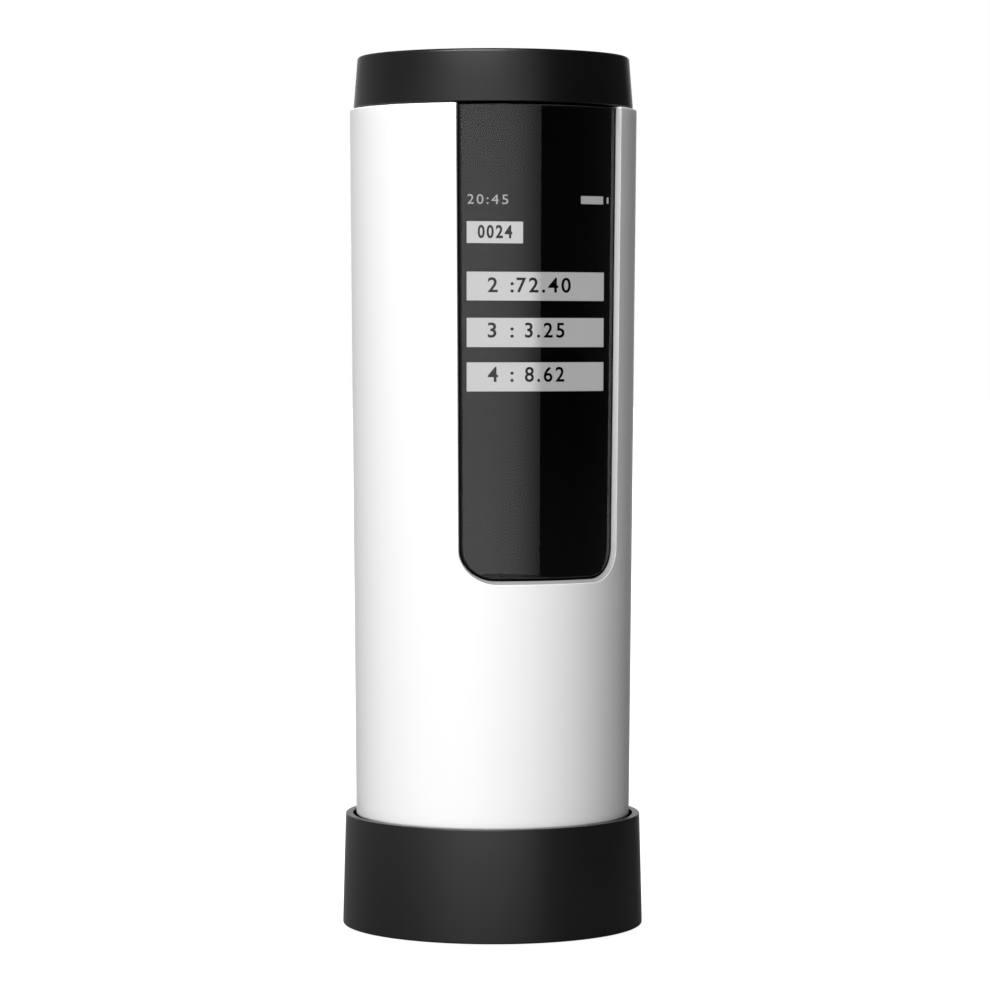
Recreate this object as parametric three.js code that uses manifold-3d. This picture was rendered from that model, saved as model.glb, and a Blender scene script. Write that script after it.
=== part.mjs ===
// A portable colorimeter: a tube-shaped instrument that stands in a removable calibration cup.
// Millimetres, +Z up, the display faces -Y, and the origin is the centre of the underside.
import * as THREE from 'three';
import { mergeVertices } from 'three/addons/utils/BufferGeometryUtils.js';
import Module from 'manifold-3d';

const wasm = await Module();
wasm.setup();

// Outside of the instrument and its cup
const shellFootRadius = 16.53;
const shellTaper = 0.75;
const shellLength = 85.22;
const shellWall = 1.3;
const shellEdgeRound = 0.2;
const shellFootRound = 0.5;
const shellSink = 0.35;
const cupHeight = 13.45;
const cupRimGap = 0.405;
const cupRimWall = 0.88;
const cupFlare = 0.35;
const cupFootRound = 0.2;
const cupRimRound = 0.15;
const capHeight = 6.21;
const capInset = 0.44;
const capTaper = 0.49;
const capEdgeRound = 0.4;
const capJointGap = 0.12;

// U-shaped opening of the shell and the window in it: the opening takes these angles of the tube
const openingFootHalfAngle = THREE.MathUtils.degToRad(35.9);
const openingHeadHalfAngle = THREE.MathUtils.degToRad(36.46);
const openingStand = 3.42;
const openingCornerRadius = 3.7;
const openingBevel = 0.36;
const windowRecess = 0.7;
const windowGap = 0.3;
const windowHeadGap = 0.3;
const windowSetback = 5.03;

// Calibration cup and what it holds
const footLift = 0.05;
const padMargin = 2.67;
const padWidth = 6;
const padThickness = 0.85;
const cupFloor = 2.55;
const rimRecessDepth = 2.2;
const cushionThickness = 0.8;
const tileMargin = 4.7;
const tileThickness = 2;
const retainerLip = 0.8;
const retainerLipWidth = 2;
const keyWidth = 2.4;
const keyDepth = 0.9;
const magnetRadius = 1.5;
const magnetHeight = 2.4;

// Nose and optics
const noseInset = 0.79;
const noseFloor = 3;
const noseEdgeBevel = 0.5;
const spigotLength = 3.25;
const apertureRadius = 4;
const apertureLip = 0.6;
const apertureLipRadius = 5.2;
const insertRadius = 6.2;
const insertThickness = 1.2;
const glassThickness = 1;
const cavityWall = 2.3;
const cavityFloor = 0.5;
const cavityRoof = 1.1;
const sphereRim = 1.4;
const lensPortRadius = 2.6;
const housingInset = 2.9;
const housingWall = 3.04;
const housingHeadWall = 0.8;
const ledSpace = 1.1;
const ledSide = 1.6;
const ledHeight = 0.9;
const ledPortRadius = 0.9;
const barrelNoseRadius = 2.4;
const barrelNoseLength = 3.3;
const barrelFlangeRadius = 4.4;
const barrelFlange = 1;
const barrelRadius = 3.2;
const barrelLength = 6.3;
const barrelBoreRadius = 1.7;
const lensSeatHeight = 2.1;
const lensRadius = 2.25;
const lensEdge = 0.8;
const lensCrown = 0.4;
const sensorSide = 4;
const sensorHeight = 0.8;

// Chassis, cell and boards
const boardThickness = 1;
const chassisFlange = 2.8;
const displayBayDepth = 7.1;
const bayFrontWall = 2.6;
const bayRearWall = 2.3;
const cellEdgeRound = 0.4;
const nubRadius = 2.7;
const nubHeight = 0.8;
const contactThickness = 0.3;
const cellPlugHeight = 1.6;
const bezelSkirt = 1.4;
const bezelPlate = 0.8;
const bezelRail = 0.6;
const bezelHeadGap = 1.1;
const displayHeadMargin = 1.9;
const displayFootMargin = 17.08;
const displayThickness = 1.8;
const mainBoardMargin = 1.5;
const processorSide = 7;
const processorHeight = 1;
const radioWidth = 10;
const radioLength = 13;
const radioHeight = 1.6;
const ribbonWidth = 8;
const ribbonThickness = 0.2;
const ribbonDrop = 6;
const ribbonLanding = 1.8;
const topBoardDrop = 1.95;
const topBoardGap = 0.9;
const socketLedge = 2;
const pillarRadius = 1.8;
const pillarInset = 2.8;
const pillarSetback = 3;

// Charging socket, measuring button, switch and spring
const socketWidth = 8.94;
const socketHeight = 3.2;
const socketDepth = 7.35;
const socketWall = 0.3;
const socketBack = 1.1;
const socketRecess = 0.7;
const tongueWidth = 6.7;
const tongueThickness = 0.7;
const tongueSetback = 0.9;
const capPlate = 1.6;
const capSkirtWall = 1.58;
const capSkirtDepth = 2.5;
const buttonRadius = 8;
const buttonSink = 0.3;
const buttonDish = 0.35;
const buttonDishMidShare = 0.75;
const buttonEdgeRound = 0.35;
const buttonFlangeWidth = 1.4;
const buttonFlange = 1.2;
const buttonTravel = 0.6;
const stemRadius = 1.6;
const switchRadius = 3;
const switchHeight = 1.6;
const plungerStand = 0.6;
const plungerLength = 1;
const springRadius = 5.4;
const springWire = 0.7;

// Screws: small countersunk ones in the cup and nose, and pan heads on the boards
const sinkHeadRadius = 1.3;
const sinkHeadHeight = 0.8;
const panHeadRadius = 1.3;
const panHeadHeight = 0.8;
const shankRadius = 0.7;
const driveWidth = 0.4;
const driveDepth = 0.35;
const driveReachShare = 0.7;
const retainerScrewLength = 4.8;
const noseScrewLength = 7;
const panScrewLength = 3.6;

// Clearances: between glued or clamped pieces, between loose ones, for pieces that slide, and cuts
const snugGap = 0.1;
const looseGap = 0.2;
const slideGap = 0.3;
const shellGap = 0.4;
const touchGap = 0.05;
const overrun = 1;
const weldDistance = 1e-4;

// Counts
const outerSegments = 64;
const innerSegments = 32;
const smallSegments = 12;
const roundSteps = 2;
const ledCount = 6;
const fixingCount = 3;
const springTurns = 4;
const springSteps = 12;
const springSides = 6;

// Radii that follow from one another, from the shell outwards to its cup and inwards to the optics
const cupRimBore = shellFootRadius + cupRimGap;
const cupRimRadius = cupRimBore + cupRimWall;
const cupFootRadius = cupRimRadius + cupFlare;
const padOuterRadius = cupFootRadius - padMargin;
const padInnerRadius = padOuterRadius - padWidth;
const shellHeadRadius = shellFootRadius + shellTaper;
const capFootRadius = shellHeadRadius - capInset;
const capHeadRadius = capFootRadius - capTaper;
const noseRadius = shellFootRadius - noseInset;
const tileRadius = noseRadius - tileMargin;
const housingRadius = noseRadius - housingInset;
const sphereRadius = housingRadius - housingWall;
const cavityRadius = sphereRadius - cavityWall;
const ledCircle = (barrelNoseRadius + slideGap + sphereRadius - sphereRim) / 2;

// Levels above the surface that the object stands on, worked out from the sizes
const level = {};
level.floorTop = footLift + cupFloor;
level.tileFoot = level.floorTop + cushionThickness;
level.tileHead = level.tileFoot + tileThickness;
level.nose = level.tileHead + retainerLip;
level.shellFoot = cupHeight - shellSink;
level.shellHead = level.shellFoot + shellLength;
level.capFoot = level.shellHead + capJointGap;
level.capHead = level.capFoot + capHeight;
level.noseFloorTop = level.nose + noseFloor;
level.sphereJoint = level.noseFloorTop + cavityRadius + cavityFloor;
level.sphereHead = level.sphereJoint + cavityRadius + cavityRoof;
level.ledBoard = level.sphereHead + ledSpace;
level.ledBoardTop = level.ledBoard + boardThickness;
level.barrelHead = level.ledBoardTop + barrelLength;
level.sensorBoard = level.barrelHead + looseGap + sensorHeight;
level.chassisFoot = level.sensorBoard + boardThickness;
level.bayFloor = level.chassisFoot + chassisFlange;
level.openingFoot = level.bayFloor + openingStand;
level.topBoardTop = level.capFoot - topBoardDrop;
level.topBoard = level.topBoardTop - boardThickness;
level.socketFoot = level.topBoard - socketHeight;
level.chassisHead = level.socketFoot - socketLedge;
level.cellFoot = level.bayFloor + contactThickness;
level.cellHead = level.chassisHead - cellPlugHeight - contactThickness;
level.bezelFoot = level.openingFoot - bezelSkirt;
level.bezelHead = level.topBoard - bezelHeadGap;
level.displayFoot = level.openingFoot + displayFootMargin;
level.displayHead = level.bezelHead - displayHeadMargin;
level.mainBoardFoot = level.bayFloor + mainBoardMargin;
level.mainBoardHead = level.chassisHead - mainBoardMargin;
level.ribbonHead = level.displayFoot + ribbonLanding;
level.ribbonFoot = level.ribbonHead - ribbonDrop - ribbonLanding;
level.processor = (level.mainBoardFoot + level.ribbonFoot - processorSide) / 2;
level.radio = (level.displayFoot + level.mainBoardHead - radioLength) / 2;

// Radii and distances that depend on a level
const shellSlope = (shellHeadRadius - shellFootRadius) / shellLength;
const shellRadius = (height) => shellFootRadius + (height - level.shellFoot) * shellSlope;
const shellBore = (height) => shellRadius(height) - shellWall;
const windowRadius = (height) => shellRadius(height) - windowRecess;
const openingFootHalfWidth = shellRadius(level.openingFoot) * Math.sin(openingFootHalfAngle);
const openingHeadHalfWidth = shellHeadRadius * Math.sin(openingHeadHalfAngle);
const windowBack = shellFootRadius - windowSetback;
const chassisFront = windowBack - displayBayDepth;
const guideRadius = noseRadius + slideGap;
const retainerRadius = guideRadius - slideGap;
const tilePocketRadius = tileRadius + looseGap;
const retainerCircle = (tilePocketRadius + retainerRadius) / 2;
const housingBoreRadius = sphereRadius + looseGap;
const housingHeadBore = housingRadius - housingHeadWall;
const ledBoardRadius = housingHeadBore - looseGap;
const noseScrewCircle = (housingBoreRadius + housingRadius) / 2;
const chassisRadius = shellBore(level.chassisFoot) - shellGap;
const cellRadius = (chassisRadius + chassisFront - bayFrontWall - bayRearWall) / 2 - looseGap;
const cellCentre = chassisRadius - bayRearWall - looseGap - cellRadius;
const bezelHalfWidth = Math.sqrt((shellBore(level.bezelFoot) - looseGap) ** 2 - windowBack ** 2);
const railHalfWidth = bezelHalfWidth - bezelRail;
const displayHalfWidth = railHalfWidth - snugGap;
const displayFront = windowBack - snugGap;
const displayBack = displayFront - displayThickness;
const mainBoardHalfWidth = railHalfWidth - bezelRail;
const mainBoardFront = chassisFront + boardThickness;
const capSkirtRadius = shellBore(level.shellHead) - snugGap;
const capBoreRadius = capSkirtRadius - capSkirtWall;
const topBoardRadius = capBoreRadius - topBoardGap;
const pillarOffset = topBoardRadius - pillarInset;
const springFoot = level.topBoardTop + touchGap;
const buttonFlangeTop = level.capHead - capPlate - touchGap;
const buttonFlangeFoot = buttonFlangeTop - buttonFlange;
const springHead = buttonFlangeFoot - touchGap;
const plungerTop = level.topBoardTop + switchHeight + plungerStand;

// Finishes: colour, roughness and metalness
const finishes = {
  whiteShell: { color: 0xf1f1ef, roughness: 0.4, metalness: 0 },
  blackSatin: { color: 0x1c1c1d, roughness: 0.5, metalness: 0 },
  blackGloss: { color: 0x070708, roughness: 0.05, metalness: 0 },
  innerBlack: { color: 0x151516, roughness: 0.8, metalness: 0 },
  ceramic: { color: 0xf6f6f2, roughness: 0.15, metalness: 0 },
  diffuser: { color: 0xfafaf8, roughness: 0.9, metalness: 0 },
  padRubber: { color: 0x202021, roughness: 0.95, metalness: 0 },
  foam: { color: 0x2b2b2d, roughness: 1, metalness: 0 },
  board: { color: 0x14532e, roughness: 0.5, metalness: 0 },
  chip: { color: 0x121214, roughness: 0.6, metalness: 0 },
  steel: { color: 0xb9bbbe, roughness: 0.35, metalness: 1 },
  nickel: { color: 0xc9c6bd, roughness: 0.25, metalness: 1 },
  cellSleeve: { color: 0x2f5f8f, roughness: 0.45, metalness: 0 },
  ribbonFilm: { color: 0xb5762a, roughness: 0.5, metalness: 0 },
  clearGlass: { color: 0xdfe7ea, roughness: 0.03, metalness: 0 },
  ledBody: { color: 0xf3eec9, roughness: 0.5, metalness: 0 },
};

// Solids: a closed mesh with welded corners, faces pointing out

function toSolid(geometry) {
  const bare = geometry.clone();
  bare.deleteAttribute('normal');
  bare.deleteAttribute('uv');
  const welded = mergeVertices(bare, weldDistance);
  const places = welded.attributes.position.array;
  const corners = welded.index.array;
  const kept = [];
  const a = new THREE.Vector3();
  const b = new THREE.Vector3();
  const c = new THREE.Vector3();
  let volume = 0;
  for (let start = 0; start < corners.length; start += 3) {
    const [i, j, k] = corners.slice(start, start + 3);
    if (i === j || j === k || k === i) {
      continue;
    }
    kept.push([i, j, k]);
    a.fromArray(places, 3 * i);
    b.fromArray(places, 3 * j);
    c.fromArray(places, 3 * k);
    volume += a.dot(b.cross(c));
  }
  const facing = volume < 0 ? kept.map(([i, j, k]) => [i, k, j]) : kept;
  const triVerts = new Uint32Array(facing.flat());
  const vertProperties = new Float32Array(places);
  return new wasm.Manifold(new wasm.Mesh({ numProp: 3, vertProperties, triVerts }));
}

function toGeometry(body) {
  const mesh = body.getMesh();
  const geometry = new THREE.BufferGeometry();
  geometry.setAttribute('position', new THREE.BufferAttribute(mesh.vertProperties, 3));
  geometry.setIndex(new THREE.BufferAttribute(mesh.triVerts, 1));
  geometry.computeVertexNormals();
  return geometry;
}

const cut = (body, ...tools) => tools.reduce((left, tool) => left.subtract(tool), body);
const join = (body, ...others) => others.reduce((whole, other) => whole.add(other), body);

// Shapes: everything is written as [radius, height] or in named sizes, +Z up

function turned(profile, segments) {
  const points = profile.map(([radius, height]) => new THREE.Vector2(radius, height));
  const closesOnAxis = profile[0][0] === 0 && profile[profile.length - 1][0] === 0;
  if (!closesOnAxis) {
    points.push(points[0].clone());
  }
  const lathe = new THREE.LatheGeometry(points, segments);
  lathe.rotateX(Math.PI / 2);
  return toSolid(lathe);
}

function disc(radius, foot, head, segments = innerSegments) {
  return turned([[0, foot], [radius, foot], [radius, head], [0, head]], segments);
}

function ring(inner, outer, foot, head, segments = innerSegments) {
  return turned([[inner, foot], [outer, foot], [outer, head], [inner, head]], segments);
}

function box(left, right, front, back, foot, head) {
  const block = new THREE.BoxGeometry(right - left, back - front, head - foot);
  block.translate((left + right) / 2, (front + back) / 2, (foot + head) / 2);
  return toSolid(block);
}

function moved(body, x, y, z = 0) {
  return body.translate([x, y, z]);
}

// Arc points of a rounded corner: centre, radius, and the two angles from the outward direction
function arc(centreRadius, centreHeight, radius, from, to) {
  const points = [];
  for (let step = 0; step <= roundSteps; step += 1) {
    const angle = from + ((to - from) * step) / roundSteps;
    points.push([centreRadius + radius * Math.cos(angle), centreHeight + radius * Math.sin(angle)]);
  }
  return points;
}

const outward = 0;
const upward = Math.PI / 2;
const downward = -Math.PI / 2;

function prism(shape, foot, head) {
  const geometry = new THREE.ExtrudeGeometry(shape, { depth: head - foot, bevelEnabled: false });
  geometry.translate(0, 0, foot);
  return toSolid(geometry);
}

// A shape drawn in x and height, carried from one distance in front of the axis to a farther one
function frontPrism(points, near, far) {
  const shape = new THREE.Shape(points.map(([x, height]) => new THREE.Vector2(x, height)));
  const geometry = new THREE.ExtrudeGeometry(shape, { depth: far - near, bevelEnabled: false });
  geometry.rotateX(Math.PI / 2);
  geometry.translate(0, -near, 0);
  return toSolid(geometry);
}

function piece(name, finish, body, x = 0, y = 0, z = 0) {
  const material = new THREE.MeshStandardMaterial(finishes[finish]);
  const mesh = new THREE.Mesh(toGeometry(body), material);
  mesh.name = name;
  mesh.position.set(x, y, z);
  return mesh;
}

// Places around the axis; the first is at the angle given, from +X towards +Y
function around(count, radius, first, make) {
  const meshes = [];
  for (let number = 0; number < count; number += 1) {
    const angle = first + (2 * Math.PI * number) / count;
    meshes.push(make(number + 1, radius * Math.cos(angle), radius * Math.sin(angle)));
  }
  return meshes;
}

const fixingsAtRear = Math.PI / 2;
const magnetsAtFront = -Math.PI / 2;

// Screws stand with the top of the head at height 0 and the tip below it

function driveSlots() {
  const reach = sinkHeadRadius * driveReachShare;
  const across = box(-reach, reach, -driveWidth / 2, driveWidth / 2, -driveDepth, overrun);
  const along = box(-driveWidth / 2, driveWidth / 2, -reach, reach, -driveDepth, overrun);
  return join(across, along);
}

function sunkScrew(length) {
  const profile = [
    [0, -length],
    [shankRadius, -length],
    [shankRadius, -sinkHeadHeight],
    [sinkHeadRadius, 0],
    [0, 0],
  ];
  return cut(turned(profile, smallSegments), driveSlots());
}

function sunkHole(length) {
  const profile = [
    [0, -length - looseGap],
    [shankRadius + snugGap, -length - looseGap],
    [shankRadius + snugGap, -sinkHeadHeight],
    [sinkHeadRadius + snugGap, 0],
    [sinkHeadRadius + snugGap, overrun],
    [0, overrun],
  ];
  return turned(profile, smallSegments);
}

function panScrew(length) {
  const profile = [
    [0, -length],
    [shankRadius, -length],
    [shankRadius, -panHeadHeight],
    [panHeadRadius, -panHeadHeight],
    [panHeadRadius, 0],
    [0, 0],
  ];
  return cut(turned(profile, smallSegments), driveSlots());
}

function panHole(length) {
  return disc(shankRadius + snugGap, -length - looseGap, overrun, smallSegments);
}

// Calibration cup: a black cup with a guiding bore, a key rib at the back and a groove for its pad

function calibrationCup() {
  const slope = (cupRimRadius - cupFootRadius) / (cupHeight - footLift);
  const rimShoulder = cupHeight - cupRimRound;
  const footShoulder = footLift + cupFootRound;
  const profile = [
    [0, footLift],
    ...arc(cupFootRadius - cupFootRound, footShoulder, cupFootRound, downward, outward),
    ...arc(cupRimRadius - slope * cupRimRound - cupRimRound, rimShoulder, cupRimRound, outward, upward),
    [cupRimBore, cupHeight],
    [cupRimBore, cupHeight - rimRecessDepth],
    [guideRadius, cupHeight - rimRecessDepth],
    [guideRadius, level.floorTop],
    [0, level.floorTop],
  ];
  const groove = ring(padInnerRadius - looseGap, padOuterRadius + looseGap, -overrun, padThickness);
  const keyFoot = level.nose + slideGap;
  const keyHead = cupHeight - rimRecessDepth;
  const keyFront = guideRadius - keyDepth;
  const keyBack = (guideRadius + cupRimRadius) / 2;
  const key = box(-keyWidth / 2, keyWidth / 2, keyFront, keyBack, keyFoot, keyHead);
  const holes = around(fixingCount, retainerCircle, fixingsAtRear, (number, x, y) =>
    moved(sunkHole(retainerScrewLength), x, y, level.nose));
  const body = join(turned(profile, outerSegments), key);
  return piece('calibration_cup', 'blackSatin', cut(body, groove, ...holes));
}

function tileRetainer() {
  const profile = [
    [tilePocketRadius, level.floorTop],
    [retainerRadius, level.floorTop],
    [retainerRadius, level.nose],
    [tileRadius - retainerLipWidth, level.nose],
    [tileRadius - retainerLipWidth, level.tileHead],
    [tilePocketRadius, level.tileHead],
  ];
  const screws = around(fixingCount, retainerCircle, fixingsAtRear, (number, x, y) =>
    moved(sunkHole(retainerScrewLength), x, y, level.nose));
  const pocket = disc(magnetRadius + snugGap, -magnetHeight - looseGap, overrun, smallSegments);
  const pockets = around(fixingCount, retainerCircle, magnetsAtFront, (number, x, y) =>
    moved(pocket, x, y, level.nose));
  return piece('tile_retainer', 'blackSatin', cut(turned(profile, innerSegments), ...screws, ...pockets));
}

function calibrationBase() {
  const group = new THREE.Group();
  group.add(calibrationCup());
  group.add(piece('foot_pad', 'padRubber', ring(padInnerRadius, padOuterRadius, 0, padThickness)));
  group.add(piece('tile_cushion', 'foam', disc(tileRadius, 0, cushionThickness), 0, 0, level.floorTop));
  group.add(piece('calibration_tile', 'ceramic', disc(tileRadius, 0, tileThickness), 0, 0, level.tileFoot));
  group.add(tileRetainer());
  group.add(...around(fixingCount, retainerCircle, fixingsAtRear, (number, x, y) =>
    piece(`retainer_screw_${number}`, 'steel', sunkScrew(retainerScrewLength), x, y, level.nose - touchGap)));
  const magnet = disc(magnetRadius, -magnetHeight, 0, smallSegments);
  group.add(...around(fixingCount, retainerCircle, magnetsAtFront, (number, x, y) =>
    piece(`cup_magnet_${number}`, 'nickel', magnet, x, y, level.nose - snugGap)));
  return group;
}

// White shell: a slightly tapered tube with a U-shaped opening whose outer edge is bevelled

function openingHalfWidth(height) {
  const share = (height - level.openingFoot) / (level.shellHead - level.openingFoot);
  return openingFootHalfWidth + (openingHeadHalfWidth - openingFootHalfWidth) * share;
}

const openingFloorPoints = 12;
const openingCornerPoints = 6;

// Points of the U, down the left side, round its two lower corners and up the right side
function openingOutline(grow, head) {
  const foot = level.openingFoot - grow;
  const radius = openingCornerRadius + grow;
  const halfWidth = openingFootHalfWidth + grow;
  const points = [[-openingHalfWidth(head) - grow, head]];
  for (let step = 0; step <= openingCornerPoints; step += 1) {
    const angle = Math.PI + (Math.PI / 2) * (step / openingCornerPoints);
    points.push([-halfWidth + radius + radius * Math.cos(angle), foot + radius + radius * Math.sin(angle)]);
  }
  for (let step = 1; step < openingFloorPoints; step += 1) {
    const share = (2 * step) / openingFloorPoints - 1;
    points.push([share * (halfWidth - radius), foot]);
  }
  for (let step = 0; step <= openingCornerPoints; step += 1) {
    const angle = -Math.PI / 2 + (Math.PI / 2) * (step / openingCornerPoints);
    points.push([halfWidth - radius + radius * Math.cos(angle), foot + radius + radius * Math.sin(angle)]);
  }
  points.push([openingHalfWidth(head) + grow, head]);
  return points;
}

// A closed solid through rings of equally many [x, y, height] points, with flat ends
function lofted(rings) {
  const count = rings[0].length;
  const corners = [];
  const flat = rings[0].map(([x, , height]) => new THREE.Vector2(x, height));
  const caps = THREE.ShapeUtils.triangulateShape(flat, []);
  const last = (rings.length - 1) * count;
  for (const [i, j, k] of caps) {
    corners.push(i, j, k);
    corners.push(last + k, last + j, last + i);
  }
  for (let row = 0; row + 1 < rings.length; row += 1) {
    for (let column = 0; column < count; column += 1) {
      const next = (column + 1) % count;
      const here = row * count;
      const above = here + count;
      corners.push(here + column, above + next, here + next);
      corners.push(here + column, above + column, above + next);
    }
  }
  const geometry = new THREE.BufferGeometry();
  geometry.setAttribute('position', new THREE.Float32BufferAttribute(rings.flat(2), 3));
  geometry.setIndex(corners);
  return toSolid(geometry);
}

function openingCutter() {
  const head = level.shellHead + overrun;
  const wide = openingOutline(openingBevel, head);
  const narrow = openingOutline(0, head);
  const inFront = -(shellHeadRadius + overrun);
  const onCylinder = (radiusAt) => ([x, height]) => [x, -Math.sqrt(radiusAt(height) ** 2 - x ** 2), height];
  return lofted([
    wide.map(([x, height]) => [x, inFront, height]),
    wide.map(onCylinder(shellRadius)),
    narrow.map(onCylinder(windowRadius)),
    narrow.map(([x, height]) => [x, -chassisFront, height]),
  ]);
}

function socketOutline(grow) {
  const radius = socketHeight / 2 + grow;
  const reach = socketWidth / 2 - socketHeight / 2;
  const middle = level.socketFoot + socketHeight / 2;
  const shape = new THREE.Shape();
  shape.absarc(reach, middle, radius, -Math.PI / 2, Math.PI / 2);
  shape.absarc(-reach, middle, radius, Math.PI / 2, (3 * Math.PI) / 2);
  return shape.getPoints(openingCornerPoints).map((point) => [point.x, point.y]);
}

// A front prism turned round to the back, between two distances behind the axis
function backPrism(points, near, far) {
  return frontPrism(points, near, far).scale([1, -1, 1]);
}

function outerShell() {
  const foot = level.shellFoot;
  const head = level.shellHead;
  const round = shellEdgeRound;
  const footRound = shellFootRound;
  const profile = [
    [shellFootRadius - shellWall, foot],
    ...arc(shellFootRadius - footRound, foot + footRound, footRound, downward, outward),
    ...arc(shellHeadRadius - round, head - round, round, outward, upward),
    [shellHeadRadius - shellWall, head],
  ];
  const socketHole = backPrism(socketOutline(looseGap), cellCentre + cellRadius, shellHeadRadius + overrun);
  return piece('outer_shell', 'whiteShell', cut(turned(profile, outerSegments), openingCutter(), socketHole));
}

// Window: a clear block, curved in front like the shell and flat behind, painted black round the display

function displayWindow() {
  const head = level.capFoot - windowHeadGap;
  const outline = openingOutline(-windowGap, head);
  const block = frontPrism(outline, windowBack, shellHeadRadius + overrun);
  const foot = level.openingFoot - overrun;
  const top = head + overrun;
  const profile = [[0, foot], [windowRadius(foot), foot], [windowRadius(top), top], [0, top]];
  const round = turned(profile, 2 * outerSegments);
  return piece('display_window', 'blackGloss', block.intersect(round));
}

// Tray that carries the window in front and the display between its two rails
function displayBezel() {
  const plateBack = windowBack - bezelPlate;
  const solid = box(
    -bezelHalfWidth, bezelHalfWidth, -windowBack, -chassisFront,
    level.bezelFoot, level.bezelHead,
  );
  const channel = box(
    -railHalfWidth, railHalfWidth, -plateBack, -chassisFront + overrun,
    level.bezelFoot - overrun, level.bezelHead + overrun,
  );
  const opening = box(
    -railHalfWidth, railHalfWidth, -windowBack - overrun, -chassisFront,
    level.displayFoot - snugGap, level.displayHead + snugGap,
  );
  return piece('display_bezel', 'innerBlack', cut(solid, channel, opening));
}

function displayModule() {
  const height = level.displayHead - level.displayFoot;
  const body = box(-displayHalfWidth, displayHalfWidth, -displayFront, -displayBack, 0, height);
  return piece('display_module', 'blackGloss', body, 0, 0, level.displayFoot);
}

// Flat ribbon: it lies on the display's back, hangs clear of its foot and lands on the main board
function displayRibbon() {
  const bendHead = level.displayFoot - ribbonThickness;
  const landHead = level.ribbonFoot + ribbonLanding;
  const backFace = -displayBack + ribbonThickness;
  const boardFace = -mainBoardFront - touchGap;
  const shape = new THREE.Shape();
  shape.moveTo(-displayBack + touchGap, level.ribbonHead);
  shape.lineTo(-displayBack + touchGap, bendHead);
  shape.lineTo(boardFace - ribbonThickness, landHead - ribbonThickness);
  shape.lineTo(boardFace - ribbonThickness, level.ribbonFoot);
  shape.lineTo(boardFace, level.ribbonFoot);
  shape.lineTo(boardFace, landHead);
  shape.lineTo(backFace + touchGap, bendHead + ribbonThickness);
  shape.lineTo(backFace + touchGap, level.ribbonHead);
  const geometry = new THREE.ExtrudeGeometry(shape, { depth: ribbonWidth, bevelEnabled: false });
  geometry.translate(0, 0, -ribbonWidth / 2);
  geometry.rotateX(Math.PI / 2);
  geometry.rotateZ(Math.PI / 2);
  return piece('display_ribbon', 'ribbonFilm', toSolid(geometry));
}

// Chassis: a D-shaped block with a bay for the cell, on a round flange, with two pillars on top

function chassisOutline() {
  const cornerX = Math.sqrt(chassisRadius ** 2 - chassisFront ** 2);
  const start = Math.atan2(-chassisFront, cornerX);
  const shape = new THREE.Shape();
  shape.moveTo(-cornerX, -chassisFront);
  shape.lineTo(cornerX, -chassisFront);
  shape.absarc(0, 0, chassisRadius, start, Math.PI - start);
  const bay = new THREE.Path();
  bay.absarc(0, cellCentre, cellRadius + looseGap, 0, 2 * Math.PI, true);
  shape.holes.push(bay);
  return shape;
}

const pillarPlaces = [-pillarOffset, pillarOffset];
const boardScrewPlaces = [
  [-1, level.mainBoardFoot + mainBoardMargin],
  [1, level.mainBoardHead - mainBoardMargin],
];
const boardScrewOffset = mainBoardHalfWidth - panHeadRadius - looseGap;

// A pan head screw or its hole, laid down so that its tip points backwards
const laid = (body) => body.rotate([90, 0, 0]);

function chassis() {
  const block = prism(chassisOutline(), level.bayFloor - touchGap, level.chassisHead);
  const flange = disc(chassisRadius, level.chassisFoot, level.bayFloor, innerSegments);
  const pillars = pillarPlaces.map((x) =>
    moved(disc(pillarRadius, level.chassisHead - overrun, level.topBoard, smallSegments), x, pillarSetback));
  const pillarHoles = pillarPlaces.map((x) =>
    moved(panHole(panScrewLength), x, pillarSetback, level.topBoardTop + panHeadHeight));
  const boardHoles = boardScrewPlaces.map(([side, height]) =>
    moved(laid(panHole(panScrewLength)), side * boardScrewOffset, -mainBoardFront - panHeadHeight, height));
  const leadSlot = box(
    -cellRadius / 2, cellRadius / 2, cellCentre, chassisRadius + overrun,
    level.bayFloor + cellRadius, level.chassisHead - cellRadius,
  );
  const body = cut(join(flange, block, ...pillars), ...pillarHoles, ...boardHoles, leadSlot);
  return piece('chassis', 'innerBlack', body);
}

function cell() {
  const length = level.cellHead - level.cellFoot - nubHeight;
  const profile = [
    [0, 0],
    [cellRadius - cellEdgeRound, 0],
    [cellRadius, cellEdgeRound],
    [cellRadius, length - cellEdgeRound],
    [cellRadius - cellEdgeRound, length],
    [nubRadius, length],
    [nubRadius, length + nubHeight],
    [0, length + nubHeight],
  ];
  return piece('battery_cell', 'cellSleeve', turned(profile, innerSegments), 0, cellCentre, level.cellFoot);
}

function cellFittings() {
  const plate = disc(cellRadius - looseGap, 0, contactThickness, innerSegments);
  const upper = disc(nubRadius + nubHeight, 0, contactThickness, innerSegments);
  const plug = disc(cellRadius, 0, cellPlugHeight, innerSegments);
  return [
    piece('battery_contact_lower', 'nickel', plate, 0, cellCentre, level.bayFloor),
    piece('battery_contact_upper', 'nickel', upper, 0, cellCentre, level.cellHead),
    piece('battery_plug', 'innerBlack', plug, 0, cellCentre, level.cellHead + contactThickness),
  ];
}

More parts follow.
